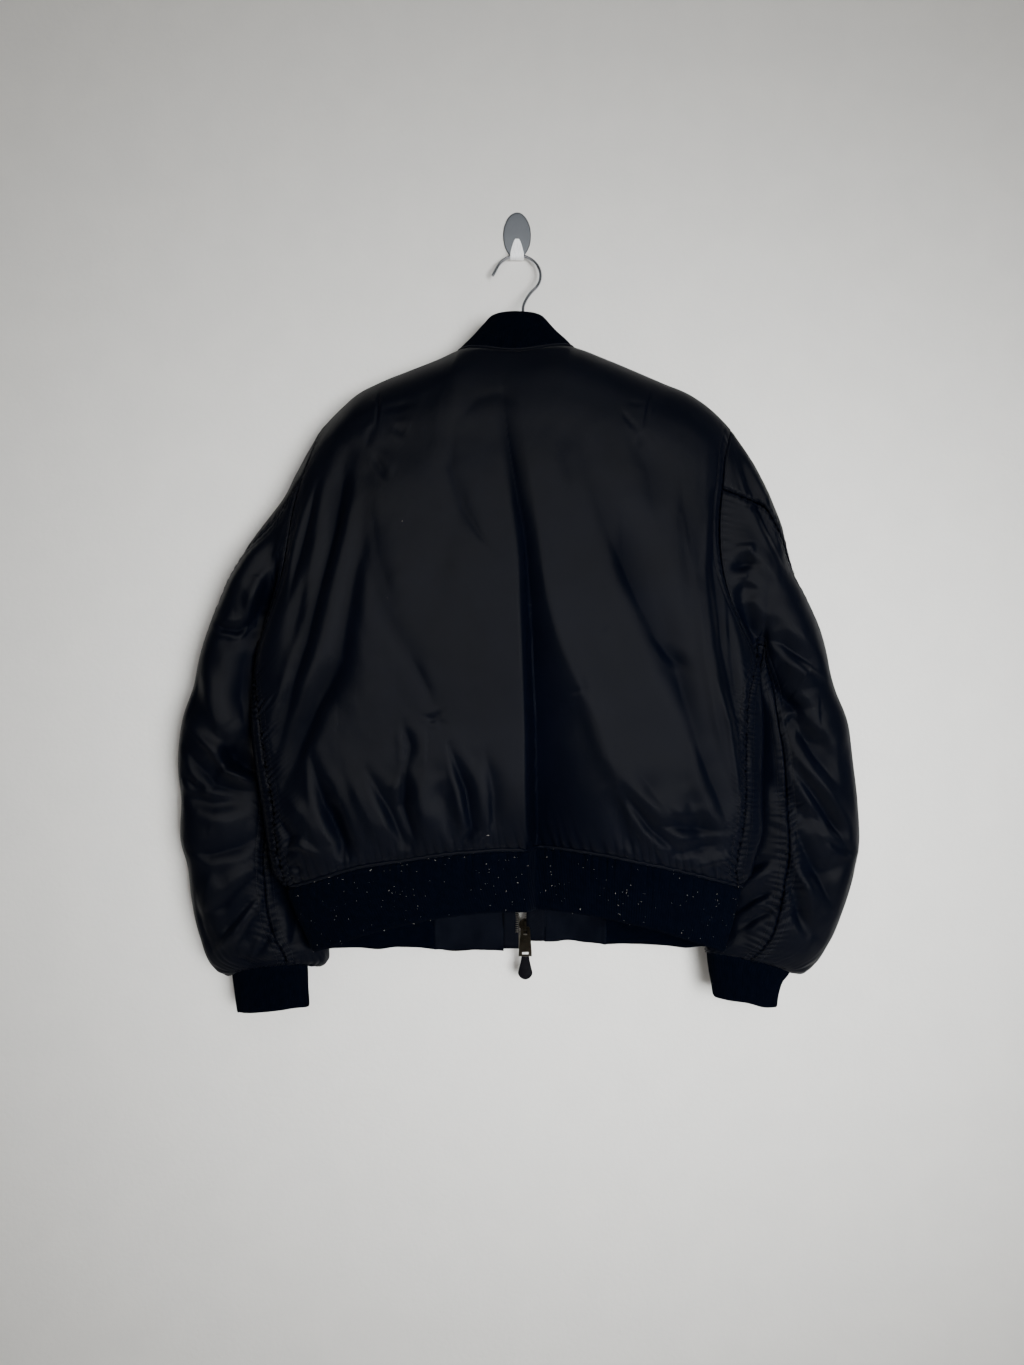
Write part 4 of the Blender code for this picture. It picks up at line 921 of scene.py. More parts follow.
def make_rib_knit(name):
    """Matt rib knit: small interlocked stitches with a fine nap of loose fibres."""
    made = Coating(name)
    cloth = made.cloth()
    fibre = made.noise(cloth, Scale=900.0, Detail=4.0, Roughness=0.7)
    tuft = made.noise(cloth, Scale=120.0, Detail=3.0)
    courses = made.wave(cloth, Scale=260.0, Distortion=1.5, Detail=2.0, bands_direction="Y")
    return made.finish(
        Base_Color=made.ramp(tuft, (0.3, (0.0002, 0.0006, 0.0020)),
                             (0.75, (0.0005, 0.0011, 0.0032))),
        Normal=made.bump(courses, 0.0003, 0.5, Normal=made.bump(fibre, 0.0004, 0.7)),
        Roughness=0.95, Specular_IOR_Level=0.03, Sheen_Weight=0.004, Sheen_Roughness=0.6,
        Sheen_Tint=(0.5, 0.6, 0.9, 1))


def make_slanted(name, light, dark, scale, distortion, relief, roughness, gloss, on_cloth):
    """Slanted threads: a tape's weave, or the twist of a sewing thread."""
    made = Coating(name)
    slant = made.wave(made.cloth() if on_cloth else made.place(), Scale=scale,
                      Distortion=distortion, bands_direction="DIAGONAL")
    return made.finish(Base_Color=made.ramp(slant, (0.0, dark), (1.0, light)),
                       Normal=made.bump(slant, *relief), Roughness=roughness,
                       Specular_IOR_Level=gloss)


def make_metal(name, light, dark, roughness, grain=(60, 60, 60), relief=0.0002, patch=30.0,
               metallic=1.0):
    """Metal with fine grain, and a duller colour in uneven patches."""
    made = Coating(name)
    place = made.place()
    patches = made.noise(place, Scale=patch, Detail=6.0, Roughness=0.65)
    lines = made.noise(made.stretched(place, grain), Scale=30.0, Detail=5.0, Roughness=0.7)
    return made.finish(Base_Color=made.ramp(patches, (0.35, dark), (0.65, light)),
                       Roughness=made.remap(lines, *roughness),
                       Normal=made.bump(lines, relief, 0.5), Metallic=metallic)


def make_wood(name):
    made = Coating(name)
    grain = made.noise(made.stretched(made.place(), (0.25, 3.0, 3.0)), Scale=24.0, Detail=8.0,
                       Roughness=0.6, Distortion=0.8)
    return made.finish(
        Base_Color=made.ramp(grain, (0.3, (0.16, 0.085, 0.04)), (0.55, (0.30, 0.175, 0.09)),
                             (0.75, (0.38, 0.24, 0.13))),
        Normal=made.bump(grain, 0.0003, 0.4), Roughness=0.38, Coat_Weight=0.4,
        Coat_Roughness=0.2)


def make_plain(name, light, dark, roughness, scale, relief, gloss=0.5):
    """A plain surface with slight changes of tone and a fine uneven face."""
    made = Coating(name)
    place = made.place()
    tone = made.noise(place, Scale=scale / 8, Detail=4.0)
    face = made.noise(place, Scale=scale, Detail=3.0, Roughness=0.5)
    return made.finish(Base_Color=made.ramp(tone, (0.35, dark), (0.65, light)),
                       Normal=made.bump(face, relief, 0.35), Roughness=roughness,
                       Specular_IOR_Level=gloss)


BRUSHED = (40, 4, 4), 0.0001, 12.0    # a long grain, shallow, in wide patches
SATIN = make_satin("satin_nylon")
LINING = make_plain("nylon_lining", (0.0020, 0.0026, 0.0048), (0.0010, 0.0014, 0.0030), 0.6,
                    240.0, 0.0006, 0.03)
RIB_KNIT = make_rib_knit("rib_knit")
SATIN_THREAD = make_slanted("black_thread", (0.003, 0.0034, 0.005), (0.0021, 0.00238, 0.0035),
                            900.0, 0.5, (0.0001, 0.5), 0.55, 0.5, False)
TAPE = make_slanted("woven_tape", (0.0028, 0.0032, 0.0052), (0.0014, 0.0018, 0.0034),
                    330.0, 0.4, (0.0003, 0.6), 0.85, 0.05, True)
BRASS = make_metal("aged_brass", (0.070, 0.060, 0.045), (0.017, 0.015, 0.011), (0.45, 0.65))
TEETH = make_metal("dull_nickel", (0.46, 0.44, 0.40), (0.25, 0.23, 0.19), (0.3, 0.5))
CHROME = make_metal("polished_wire", (0.52, 0.53, 0.57), (0.38, 0.39, 0.42), (0.14, 0.22))
# the tongue mirrors the bright room, which a paler and less metallic coating stands for
POLISHED = make_metal("polished_tongue", (0.97, 0.97, 0.97), (0.95, 0.95, 0.96), (0.24, 0.32),
                      *BRUSHED, metallic=0.1)
STEEL = make_metal("brushed_steel", (0.255, 0.275, 0.305), (0.215, 0.232, 0.26), (0.28, 0.42),
                   *BRUSHED)
WOOD = make_wood("varnished_wood")
TAB = make_plain("black_tab", (0.004, 0.004, 0.005), (0.002, 0.002, 0.003), 0.5, 900.0, 0.0003,
                 0.05)
LINT = make_plain("pale_lint", (0.45, 0.41, 0.36), (0.10, 0.09, 0.08), 0.95, 3000.0, 0.0003)
FABRICS = {"satin": (SATIN, CLOTH), "rib": (RIB_KNIT, RIB), "tape": (TAPE, TAPE_THICK)}


# ---- satin panels -------------------------------------------------------------------------
TOP_ROWS, LOW_ROWS = 112, 132       # rows of a body panel above and below the underarm
BACK_COLUMNS, FRONT_COLUMNS = 271, 111
SLEEVE_ROWS, SLEEVE_COLUMNS_OF = 301, {"back": 101, "front": 85}
BODY_GAP, SLEEVE_GAP = 0.1, 0.2     # degrees kept free beside a seam
SLEEVE_END = 0.9992
PANEL_T = np.clip(np.concatenate((
    UNDERARM_T * (1 - np.cos(np.pi * np.arange(TOP_ROWS + 1) / TOP_ROWS)) / 2,
    np.linspace(UNDERARM_T, 1, LOW_ROWS + 1)[1:])), END_INSET, 1 - END_INSET)[:, None]

# pleats that run off the seams: pitch, height, reach and slant
SIDE_PLEATS = 6.4, 2.9, 11, 0.35
ARMHOLE_PLEATS = 9.5, 0.7, 9
HEM_PLEATS = 10.5, 1.1, 16, 0.3
GATHERED_PLEATS = 9.5, 1.9, 12, 0.3     # along the sleeve's lower seam, below the elbow
FLAT_PLEATS = 10, 0.7, 8, 0.3           # and above it
UPPER_PLEATS = 8.5, 0.6, 9, 0.3         # along the sleeve's upper seam
CUFF_PLEATS = 9.5, 1.7, 20, 0.2
SLEEVE_HEAD_PLEATS = 9, 0.7, 10, 0.2
HEM_END_PLEATS = 8, 0.8, 9
RIB_PLEATS = 11, 0.8, 26, 0.05

# rows of sewing, by their ways from the edge
BODY_ROWS, SLEEVE_SEAM_ROWS, ONE_ROW = (3.0, 11.0), (3.0, 10.0), (3.0,)
EDGE_ROW, HEM_ROW = (4.0,), (3.2,)

# how much of a fold's height counts for painted shade, and the pleats' heights at which that shade
# is full
SOFT_SHARE, SIDE_FULL, HEM_FULL, SLEEVE_FULL = 0.25, 2.2, 1.6, 2.8
SLEEVE_PAINTED_SHADE = {-1: 0.22, 1: -0.05}    # painted shade over each whole sleeve: the left sleeve hangs turned from the room's light
HEM_END_PAINTED_SHADE = 0.8                    # painted shade on the hem's satin ends: the room's light hardly gets in behind the hem
CUFF_ARCH = {-1: 12.0, 1: 8.0}          # rise of the cuff's seam in the middle, behind
CUFF_ARCH_REACH, CUFF_WAVE = 38.0, 1.8
HEM_WAVE, HEM_WAVE_REACH = 2.2, 26.0
HEM_EDGE_WAVE = 2.6
HEM_HEIGHT = 80.0                       # of the hem band, along the cloth


def body_heights(base, t, side):
    """All the folds of a body panel, and the painted shade at each point; side 0 is the back."""
    x, z = base[..., 0], base[..., 2]
    behind = side == 0
    across, from_end = ways_across(base)
    height = folds(x, z, BACK_FOLDS if behind else FRONT_FOLDS)
    height *= ease(t / 0.08) * ease((1 - t) / 0.03)
    creased = creases(x, z, BACK_CREASES if behind else FRONT_CREASES) * ease(t / 0.03)
    hollow = hollow_of(creased + SOFT_SHARE * height, FULL_SHADE_DEPTH)
    if behind:
        hollow = np.maximum(hollow, centre_fold(x, z)[1])
    height += creased
    seed = 20 if behind else 30 + side
    calm = ease(t / 0.1) * ease((1 - t) / 0.05)
    height += swell(x, z, seed) * calm * (0.8 if behind else 1.0)
    below = ease((t - UNDERARM_T) / 0.04)
    beside = ease((UNDERARM_T - t) / 0.1) * ease(t / 0.05)
    down = t * BODY_DROP
    edges = ((across, 1), (from_end, 2)) if behind else ((across, 3),)
    for away, k in edges:
        gathered = pucker(away, down, seed + k, *SIDE_PLEATS) * below
        gathered += pucker(away, down, seed + k + 5, *ARMHOLE_PLEATS) * beside
        hollow += hollow_of(gathered, SIDE_FULL)
        height += gathered
        height += seam_dip(away, 0.5 + below) + stitch_rows(away, BODY_ROWS)
    to_hem = (1 - t) * BODY_DROP
    gathered = pucker(to_hem, x, seed + 11, *HEM_PLEATS) * ease(to_hem / 3)
    hollow += hollow_of(gathered, HEM_FULL)
    height += gathered
    height += seam_dip(to_hem, 1.8, 3.0) + seam_dip(down, 1.0, 2.2)
    return height, np.clip(hollow, RIDGE_OPEN, 1)


def panel_grid(start, end, side, columns):
    """Base points, angles and t of a body panel between two edge angles."""
    middle = int(len(PANEL_T) * 0.55)
    row = mix(start[middle], end[middle], np.linspace(0, 1, 400))
    flip = 1 if side == 0 else side
    shares = even_shares(body_base(flip * row, PANEL_T[middle]), columns)
    angle = mix(start, end, shares[None]) * flip
    t = np.broadcast_to(PANEL_T, angle.shape)
    return body_base(angle, t), angle, t


def finish_panel(name, base, height, normal, kind, wrap=False, **options):
    """Shell of a panel from its base grid and folds; returns its grid for sewing on."""
    coating, thickness = FABRICS[kind]
    outer = base + normal * height[..., None]
    facing = grid_normals(outer, wrap)
    flip = np.sign((facing * normal).sum(-1).mean())
    facing *= flip
    make_shell(name + "_shell", outer, outer - facing * thickness, coating, kind, flip, wrap,
               **options)
    return outer, facing


def make_back():
    start, end = BODY_GAP - seam_angle(-1, PANEL_T), seam_angle(1, PANEL_T) - BODY_GAP
    base, angle, t = panel_grid(start, end, 0, BACK_COLUMNS)
    base[..., 2] += hem_wave(base[..., 0], angle, (1 - t) * BODY_DROP)
    base[..., 1] -= centre_fold(base[..., 0], base[..., 2])[0] * ease(t / 0.06)
    normal = orient(base, np.array([0, -1.0, 0]))
    height, hollow = body_heights(base, t, 0)
    return finish_panel("back_panel", base, height, normal, "satin", hollow=hollow)


def make_front(side):
    start = front_start_angle(side, PANEL_T) + BODY_GAP
    end = front_end_angle(side, FRONT_EDGE_X[side], *body("edge_left edge_right", PANEL_T))
    base, _, t = panel_grid(start, end, side, FRONT_COLUMNS)
    normal = orient(base, np.array([0, 1.0, 0]))
    height, hollow = body_heights(base, t, side)
    return finish_panel("front_" + WORDS[side], base, height, normal, "satin", hollow=hollow)


def cuff_arch(side, angle):
    return CUFF_ARCH[side] * np.clip(cos_sin(angle)[1], 0, 1) ** 1.2


def hem_wave(x, angle, from_seam):
    """Rise and fall of the hem seam behind, where the rib pulls the satin in unevenly."""
    behind = ease(cos_sin(angle)[0] / 0.3)
    return HEM_WAVE * noise(x / 58, 3.3, 77) * behind * np.exp(-from_seam / HEM_WAVE_REACH)


def hem_edge_wave(x, angle, s):
    """Uneven lower edge of the hem in front."""
    front = ease(-cos_sin(angle)[0] / 0.3)
    return HEM_EDGE_WAVE * noise(x / 24, 5.1, 79) * front * s**2


def make_sleeve(side, part):
    """A sleeve's panel, "back" or "front", between its upper and its lower seam."""
    _, length = sleeve_stations(side)
    s = np.linspace(0, SLEEVE_END, SLEEVE_ROWS)[:, None]
    upper, lower = read(SLEEVE_SEAMS[side], "upper lower", s)
    start, end = (upper, lower) if part == "back" else (lower, upper + 360)
    angle = mix(start + SLEEVE_GAP, end - SLEEVE_GAP,
                np.linspace(0, 1, SLEEVE_COLUMNS_OF[part])[None])
    cosine, sine = cos_sin(angle)
    free = np.maximum(s, 0.0002 + 0.002 * ((1 - cosine) / 2) ** 2)
    base = sleeve_base(side, angle, free)
    base[..., 2] += cuff_arch(side, angle) * np.exp(-((1 - s) * length / CUFF_ARCH_REACH) ** 2)
    normal = orient(base, np.array([0, -1.0 if part == "back" else 1.0, 0]))
    across, from_end = ways_across(base)
    at_upper, at_lower = (across, from_end) if part == "back" else (from_end, across)
    x, z = base[..., 0], base[..., 2]

    # folds, by the side on which a point lies, and flat where the sleeve turns over
    def by_side(heights, rows):
        return np.where(sine >= 0, *(heights(x, z, rows[side, at]) for at in ("back", "front")))

    turned = np.abs(sine) ** 0.5
    height = by_side(folds, SLEEVE_FOLDS) * turned
    creased = by_side(creases, SLEEVE_CREASES) * turned**0.5
    hollow = hollow_of(creased + SOFT_SHARE * height, FULL_SHADE_DEPTH * 1.4)
    height = (height + creased) * ease(s / 0.06) * ease((1 - s) / 0.04)
    seed = 50 + 7 * side + (3 if part == "back" else 0)
    height += swell(x, z, seed) * ease(s / 0.06) * ease((1 - s) / 0.05)

    # pleats along the seams
    down = s * length
    gathered = ease((s - SLEEVE_GATHERS_FROM + 0.03) / 0.08)
    near_armhole = 1 + 1.4 * (1 - ease(s / 0.25))
    pleats = pucker(at_lower, down, seed + 1, *GATHERED_PLEATS) * gathered
    pleats += pucker(at_lower, down, seed + 2, *FLAT_PLEATS) * (1 - gathered) * ease(s / 0.04)
    pleats += pucker(at_upper, down, seed + 3, *UPPER_PLEATS) * ease(s / 0.02) * near_armhole
    for away in (at_lower, at_upper):
        height += seam_dip(away, 1.0) + stitch_rows(away, SLEEVE_SEAM_ROWS)
    to_cuff = (1 - s) * length
    round_way = across + 40 * (part == "front")
    pleats += pucker(to_cuff, round_way, seed + 4, *CUFF_PLEATS) * ease(to_cuff / 3)
    height += seam_dip(to_cuff, 1.4, 3.0) + seam_dip(down, 0.5, 2.6)
    pleats += pucker(down, round_way, seed + 5, *SLEEVE_HEAD_PLEATS) * ease(down / 3)
    height += pleats
    hollow = np.clip(hollow + hollow_of(pleats, SLEEVE_FULL) + SLEEVE_PAINTED_SHADE[side],
                     RIDGE_OPEN, 1)
    return finish_panel("sleeve_" + WORDS[side] + "_" + part, base, height, normal, "satin",
                        hollow=hollow)


# ---- rib knit trims -----------------------------------------------------------------------
RIB_PITCH, RIB_HEIGHT, RIB_SAMPLES = 3.1, 0.55, 6
RIB_STEP = (2, 3)            # the inner skin keeps every second row and every third column
COLLAR_ROWS, HEM_ROWS, CUFF_ROWS = 25, 23, 33
COLLAR_HEIGHT = 45.0
HEM_START = 0.008            # share of the hem's height kept free at its seam
HEM_MIDDLE_Y = -74.0
HEM_FOLD_LOSS = 0.45         # how far the centre valley flattens out down the hem band
COLLAR_CREASES = [
    ([(-44, -124), (-30, -140), (-6, -146), (24, -142)], 6, -1.2, 0.4),
    ([(38, -132), (30, -146), (12, -154)], 5, -0.9, 0.3)]
HEM_CREASES = [
    ([(-232, -842), (-226, -880)], 12, -2.0, 0.3),
    ([(-160, -826), (-150, -872)], 13, -1.8, 0.3),
    ([(-66, -806), (-60, -850)], 12, -1.5, 0.3),
    ([(28, -800), (30, -846)], 16, -2.2, 0.3),
    ([(96, -816), (88, -858)], 12, -1.6, 0.3),
    ([(178, -826), (176, -872)], 13, -1.8, 0.3),
    ([(240, -838), (232, -882)], 12, -2.0, 0.3)]


def rib_columns(row):
    """Columns that give a row of points a whole number of ribs."""
    return 2 * (int(line_length(row)[-1] / RIB_PITCH) * RIB_SAMPLES // 2)


def knit_heights(base, s, seed, slack, edge, settled, roll):
    """Rounded ribs with narrow grooves, slack waves and an edge rolled in; edge, settled and
    roll are the shares of the trim in which ribs, waves and roll come to their full size."""
    phase = np.arange(base.shape[1]) / RIB_SAMPLES
    ribs = RIB_HEIGHT * (np.abs(np.cos(np.pi * phase)) ** 0.55 - 1)
    x, z = base[..., 0], base[..., 2]
    waves = 0.9 * noise(x / 34, z / 60, seed) + 0.35 * noise(x / 13, z / 22, seed + 1)
    return (ribs[None] * ease((1 - s) / edge[0]) * (ease(s / edge[1]) if len(edge) > 1 else 1)
            + slack * waves * ease(s / settled) - (1 - ease((1 - s) / roll)))


def outward_of(base, x, y):
    """Level vectors away from an upright line at X, Y."""
    return (base - np.array([x, y, 0])) * np.array([1.0, 1.0, 0])


def make_collar():
    s = np.linspace(0.0, 1.0, COLLAR_ROWS)[:, None]
    start, end = -collar_end_angle(-1), collar_end_angle(1)
    row = collar_base(np.linspace(start, end, 500), np.full(500, 0.5))
    angle = mix(start, end, even_shares(row, rib_columns(row) + 1))[None]
    base = collar_base(*np.broadcast_arrays(angle, s))
    normal = orient(base, outward_of(base, NECK_X, RIDGE_Y))
    height = knit_heights(base, s, 81, 1.0, (0.03, 0.05), 0.2, 0.06)
    height += creases(base[..., 0], base[..., 2], COLLAR_CREASES) * ease(s / 0.1)
    height += seam_dip(s * COLLAR_HEIGHT, 0.8, 2.0)
    return finish_panel("collar", base, height, normal, "rib", step=RIB_STEP)


def make_hem_band():
    s = np.linspace(HEM_START, 1.0, HEM_ROWS)[:, None]
    start, end = (hem_edge_angle(side, RIB_END_X[side], s) for side in (-1, 1))
    middle = HEM_ROWS // 2
    row = hem_base(mix(start[middle], end[middle], np.linspace(0, 1, 900)), np.full(900, 0.5))
    angle = mix(start, end, even_shares(row, rib_columns(row) + 1)[None])
    base = hem_base(angle, np.broadcast_to(s, angle.shape))
    base[..., 2] += (hem_wave(base[..., 0], angle, s * HEM_HEIGHT)
                     + hem_edge_wave(base[..., 0], angle, s))
    fold, _ = centre_fold(base[..., 0], base[..., 2])
    base[..., 1] -= fold * (1 - HEM_FOLD_LOSS * s) * (cos_sin(angle)[0] > 0)
    normal = orient(base, outward_of(base, 0, HEM_MIDDLE_Y))
    x, z = base[..., 0], base[..., 2]
    height = knit_heights(base, s, 91, 1.3, (0.04, 0.06), 0.15, 0.05)
    height += np.where(np.abs(angle) < 90, creases(x, z, HEM_CREASES), 0) * ease(s / 0.1)
    height += pucker(s * HEM_HEIGHT, x, 93, *RIB_PLEATS)
    return finish_panel("hem_band", base, height, normal, "rib", step=RIB_STEP)


def make_hem_end(side):
    """The satin part of the hem beside the zip."""
    s = np.linspace(HEM_START, 1.0, 41)[:, None]
    start = hem_edge_angle(side, RIB_END_X[side] + side * SEAM_LAP, s)
    end = hem_edge_angle(side, FRONT_EDGE_X[side], s)
    angle = mix(start, end, np.linspace(0, 1, 61)[None])
    base = hem_base(angle, np.broadcast_to(s, angle.shape))
    base[..., 2] += hem_edge_wave(base[..., 0], angle, s)
    normal = orient(base, np.array([0, 1.0, 0]))
    x, z = base[..., 0], base[..., 2]
    across, from_end = ways_across(base)
    height = 1.2 * noise(x / 26, z / 40, 101 + side) + 0.7 * noise(x / 9, z / 20, 103 + side)
    height = height * ease(s / 0.1) * ease((1 - s) / 0.05)
    height += pucker(across, z, 105 + side, *HEM_END_PLEATS) + seam_dip(across)
    height += stitch_rows(across, ONE_ROW) + stitch_rows(from_end, EDGE_ROW)
    height += seam_dip(s * HEM_HEIGHT, 1.2, 2.4) + stitch_rows((1 - s) * HEM_HEIGHT, EDGE_ROW)
    return finish_panel("hem_end_" + WORDS[side], base, height, normal, "satin",
                        hollow=HEM_END_PAINTED_SHADE)


def make_cuff(side):
    s = np.linspace(-0.25, 1.0, CUFF_ROWS)[:, None]
    row = cuff_base(side, np.linspace(0, 360, 721), np.full(721, 0.5))
    angle = even_shares(row, rib_columns(row) + 1)[None, :-1] * 360
    base = cuff_base(side, *np.broadcast_arrays(angle, s))
    base[..., 2] += cuff_arch(side, angle) * np.clip(1 - s, 0, 1) ** 1.5
    base[..., 2] += CUFF_WAVE * noise(angle / 34, side, 131) * ease(s)
    normal = orient(base, base - base.mean(axis=1, keepdims=True), wrap=True)
    height = knit_heights(base, s, 111 + side, 1.2, (0.04,), 0.2, 0.05)
    return finish_panel("cuff_" + WORDS[side], base, height, normal, "rib", wrap=True,
                        step=RIB_STEP)


# ---- zip ----------------------------------------------------------------------------------
TEETH_PITCH, TOOTH = 2.7, (5.2, 2.6, 1.4)    # a tooth's length, depth and height
HEAD_SHIFT, HEAD_TAPER = 1.4, 0.7            # of a tooth's head, towards the other tape
CLAMP_SHIFT, CLAMP_TAPER, CLAMP_HALF = -1.2, 0.6, 0.8
TEETH_START, TEETH_STOP = 6.0, {-1: 20, 1: 16}   # free ways at the tape's two ends
TAPE_CLOSES = {-1: 4.0, 1: -6.4}             # how far each tape's free edge turns in at the hem
TAPE_ROWS, TAPE_SINK = 91, 0.7
BEAD_FROM_EDGE, BEAD_WIDTH, BEAD_HEIGHT = 1.2, 1.4, 0.5
BOX_FACES = [(0, 1, 3, 2), (4, 6, 7, 5), (0, 4, 5, 1), (2, 3, 7, 6), (0, 2, 6, 4), (1, 5, 7, 3)]


def tape_lines(side):
    """The two edges of a zip tape from the neck down to the hem's lower edge."""
    t = np.linspace(0.01, 1, TAPE_ROWS)
    s = np.linspace(0, 0.985, TAPE_ROWS // 6)[1:]
    sewn, free = FRONT_EDGE_X[side] + side * SEAM_LAP, TAPE_EDGE_X[side]
    edges = []
    for x, closing in ((sewn, 0), (free, TAPE_CLOSES[side])):
        on_body = side * front_end_angle(side, x, *body("edge_left edge_right", t))
        on_hem = hem_edge_angle(side, x + closing * ease(s / 0.5), s)
        edges.append(np.concatenate((body_base(on_body, t), hem_base(on_hem, s))))
    return edges


def make_tape(side):
    near, far = tape_lines(side)
    share = np.linspace(0, 1, 11)[None, :, None]
    base = near[:, None] * (1 - share) + far[:, None] * share
    normal = orient(base, np.array([0, 1.0, 0]))
    across, from_end = ways_across(base)
    height = stitch_rows(across, ONE_ROW) + 0.3 * noise(base[..., 0] / 9, base[..., 2] / 24, 121)
    height -= TAPE_SINK
    height += BEAD_HEIGHT * np.exp(-((from_end - BEAD_FROM_EDGE) / BEAD_WIDTH) ** 2)
    return finish_panel("zip_tape_" + WORDS[side], base, height, normal, "tape")


def box_points(half, taper=1.0):
    """Eight corners round the origin; the +X end is narrowed by taper."""
    x, y, z = half
    return np.array([(a * x, b * y * (taper if a > 0 else 1), c * z * (taper if a > 0 else 1))
                     for a in (-1, 1) for b in (-1, 1) for c in (-1, 1)])


def make_teeth(side):
    """Moulded metal teeth clamped on the tape's beaded edge."""
    edge = tape_lines(side)[1]
    length = line_length(edge)
    reach, depth, tall = TOOTH
    head = side * HEAD_SHIFT, (reach / 2, depth / 2, tall / 2), HEAD_TAPER
    clamp = side * CLAMP_SHIFT, (CLAMP_HALF, depth / 2 - 0.4, tall / 2 - 0.2), CLAMP_TAPER
    points, faces = [], []
    at = np.arange(TEETH_START, length[-1] - TEETH_STOP[side], TEETH_PITCH)
    for p in at_lengths(length, edge, at):
        for shift, half, taper in (head, clamp):
            first = len(points)
            corners = box_points(half, taper)
            corners[:, 0] *= -side
            points += list(corners + p + np.array([shift - side * 0.2, -0.6, 0]))
            faces += [tuple(first + k for k in face[::-side]) for face in BOX_FACES]
    make_object("zip_teeth_" + WORDS[side], points, faces, TEETH)


# ---- hard pieces --------------------------------------------------------------------------
PLATE_HALF_X, PLATE_HALF_Z = 18.0, 30.0
# the plate's rings from its back to its face: share of its full size, and Y
PLATE_RINGS = ((1.0, 0.0), (1.0, -0.9), (0.985, -1.4), (0.95, -1.75), (0.9, -1.85),
               (0.6, -1.95), (0.3, -2.0), (0.05, -2.0))
TONGUE_HALF_THICK, TONGUE_HALF = 0.6, 8.6
TONGUE_PATH = [(-1.2, -22.0), (-2.2, -29.0), (-3.6, -32.2), (-7.0, -34.0), (-10.4, -32.6),
               (-12.0, -29.0), (-12.8, -22.0), (-13.4, -15.0), (-13.8, -10.0)]
TONGUE_NARROWS_Z, TONGUE_TIP_Z = -28.0, -8.8
WIRE_RADIUS, WIRE_STEP = 2.05, 1.6
# the wire's rounded tip: how far each ring lies ahead of it, and its share of full size
TIP_RINGS = ((1.6, 0.3), (1.3, 0.66), (0.7, 0.93))
WIRE_SIDES = 20
HOOK_X, HOOK_Z, HOOK_RADIUS, HOOK_TOP_Y = 1.0, -57.6, 29.0, -7.2
HOOK_ARC = 155, -36, -7     # degrees round the hook's centre: first, last and step
HOOK_TIP = [(-30.8, -57.1), (-28.9, -53.1), (-27.1, -49.1)]
HOOK_STEM = [(18.5, -81.0), (11.5, -92.0), (8.0, -101.0), (7.4, -112.0), (7.6, -128.0),
             (8.0, -152.0)]
SLIDER_X, SLIDER_Y, SLIDER_Z = 10.4, -20.8, -887.5
SLIDER_FACE_Y = SLIDER_Y - 3.0
SHOE_SHIFT, SHOE_HALF = (0, 0.9, -7.0), (5.0, 2.4, 9.0)
# the cap's outline, turned round Y: radius and Y
SLIDER_CAP = [(0.05, -18.0), (6.9, -18.0), (7.8, -18.6), (8.0, -20.5), (8.0, -23.0),
              (7.5, -23.8), (6.4, -23.8), (5.8, -23.1), (2.8, -23.1), (2.3, -23.7),
              (0.05, -23.7)]
BRIDGE_Y, BRIDGE_HALF_X = -27.0, 1.5
# the bridge's upper half: Z, Y and half its thickness
BRIDGE_HALF = [(6.1, SLIDER_FACE_Y + 0.6, 1.1), (5.9, SLIDER_FACE_Y - 0.6, 1.1),
               (5.1, BRIDGE_Y + 0.6, 0.9), (3.7, BRIDGE_Y, 0.8)]
PULL_Y, PULL_THICK, PULL_Z = -25.0, 1.4, SLIDER_Z - 2.8
PULL_PROFILE = table("down half", [
    (-0.8, 4.6), (0.8, 5.5), (8.0, 6.4), (11.5, 6.6), (16.0, 7.0), (30.0, 8.2), (37.0, 8.6)])
PULL_ROWS = [-0.8, -0.4, 0.8, 4.0, 8.0, 9.8, 11.5, 16.0, 22.0, 27.0, 30.5, 31.5, 34.4, 36.2,
             37.0]
PULL_HOLES = (0.8, 9.8), (31.5, 34.4)       # the bridge's window and the tab's slot
WINDOW_HALF, SLOT_HALF, SLOT_FROM = 2.4, 4.0, 20
PULL_RIBS_X, PULL_RIB_HALF, PULL_RIBS_DOWN = (-3.6, -1.8, 0.0, 1.8, 3.6), (0.45, 0.3, 8.0), 21.0
TAB_PROFILE = table("down half", [
    (37.5, 5.0), (43.0, 5.8), (52.0, 8.0), (59.0, 9.2), (63.5, 7.8), (66.0, 3.4)])
TAB_HALF_THICK, TAB_ROUND, TAB_ROUND_DOWN = 1.2, 9.3, 57
TAB_RINGS = ((-1.0, 0.86), (-0.7, 0.97), (0.0, 1.0), (0.7, 0.97), (1.0, 0.86))
# the stops at the zip's lower end: place from the tape's last point, and half size
PIN_SHIFT, PIN_HALF = (1.2, -0.4, 8.5), (1.4, 1.4, 9.0)
BOX_SHIFT, BOX_HALF = (-1.6, -0.6, 4.0), (3.0, 2.0, 5.0)


def circle(count):
    return np.radians(np.arange(count) * 360 / count)


def add_bevel(made, width, segments=3):
    step = made.modifiers.new("edge", "BEVEL")
    step.width = width * MM
    step.segments = segments
    step.limit_method = "ANGLE"
    step.angle_limit = np.radians(35)
    step.harden_normals = False


def fix_normals(made):
    work = bmesh.new()
    work.from_mesh(made.data)
    bmesh.ops.recalc_face_normals(work, faces=work.faces)
    work.to_mesh(made.data)
    work.free()
    made.data.set_sharp_from_angle(angle=np.radians(40))
    return made


def lofted(name, rings, coating, rides="jacket"):
    """A closed piece through rings of points."""
    points = [p for ring in rings for p in ring]
    return fix_normals(make_object(name, points, ring_faces(len(rings), len(rings[0])), coating,
                                   rides))


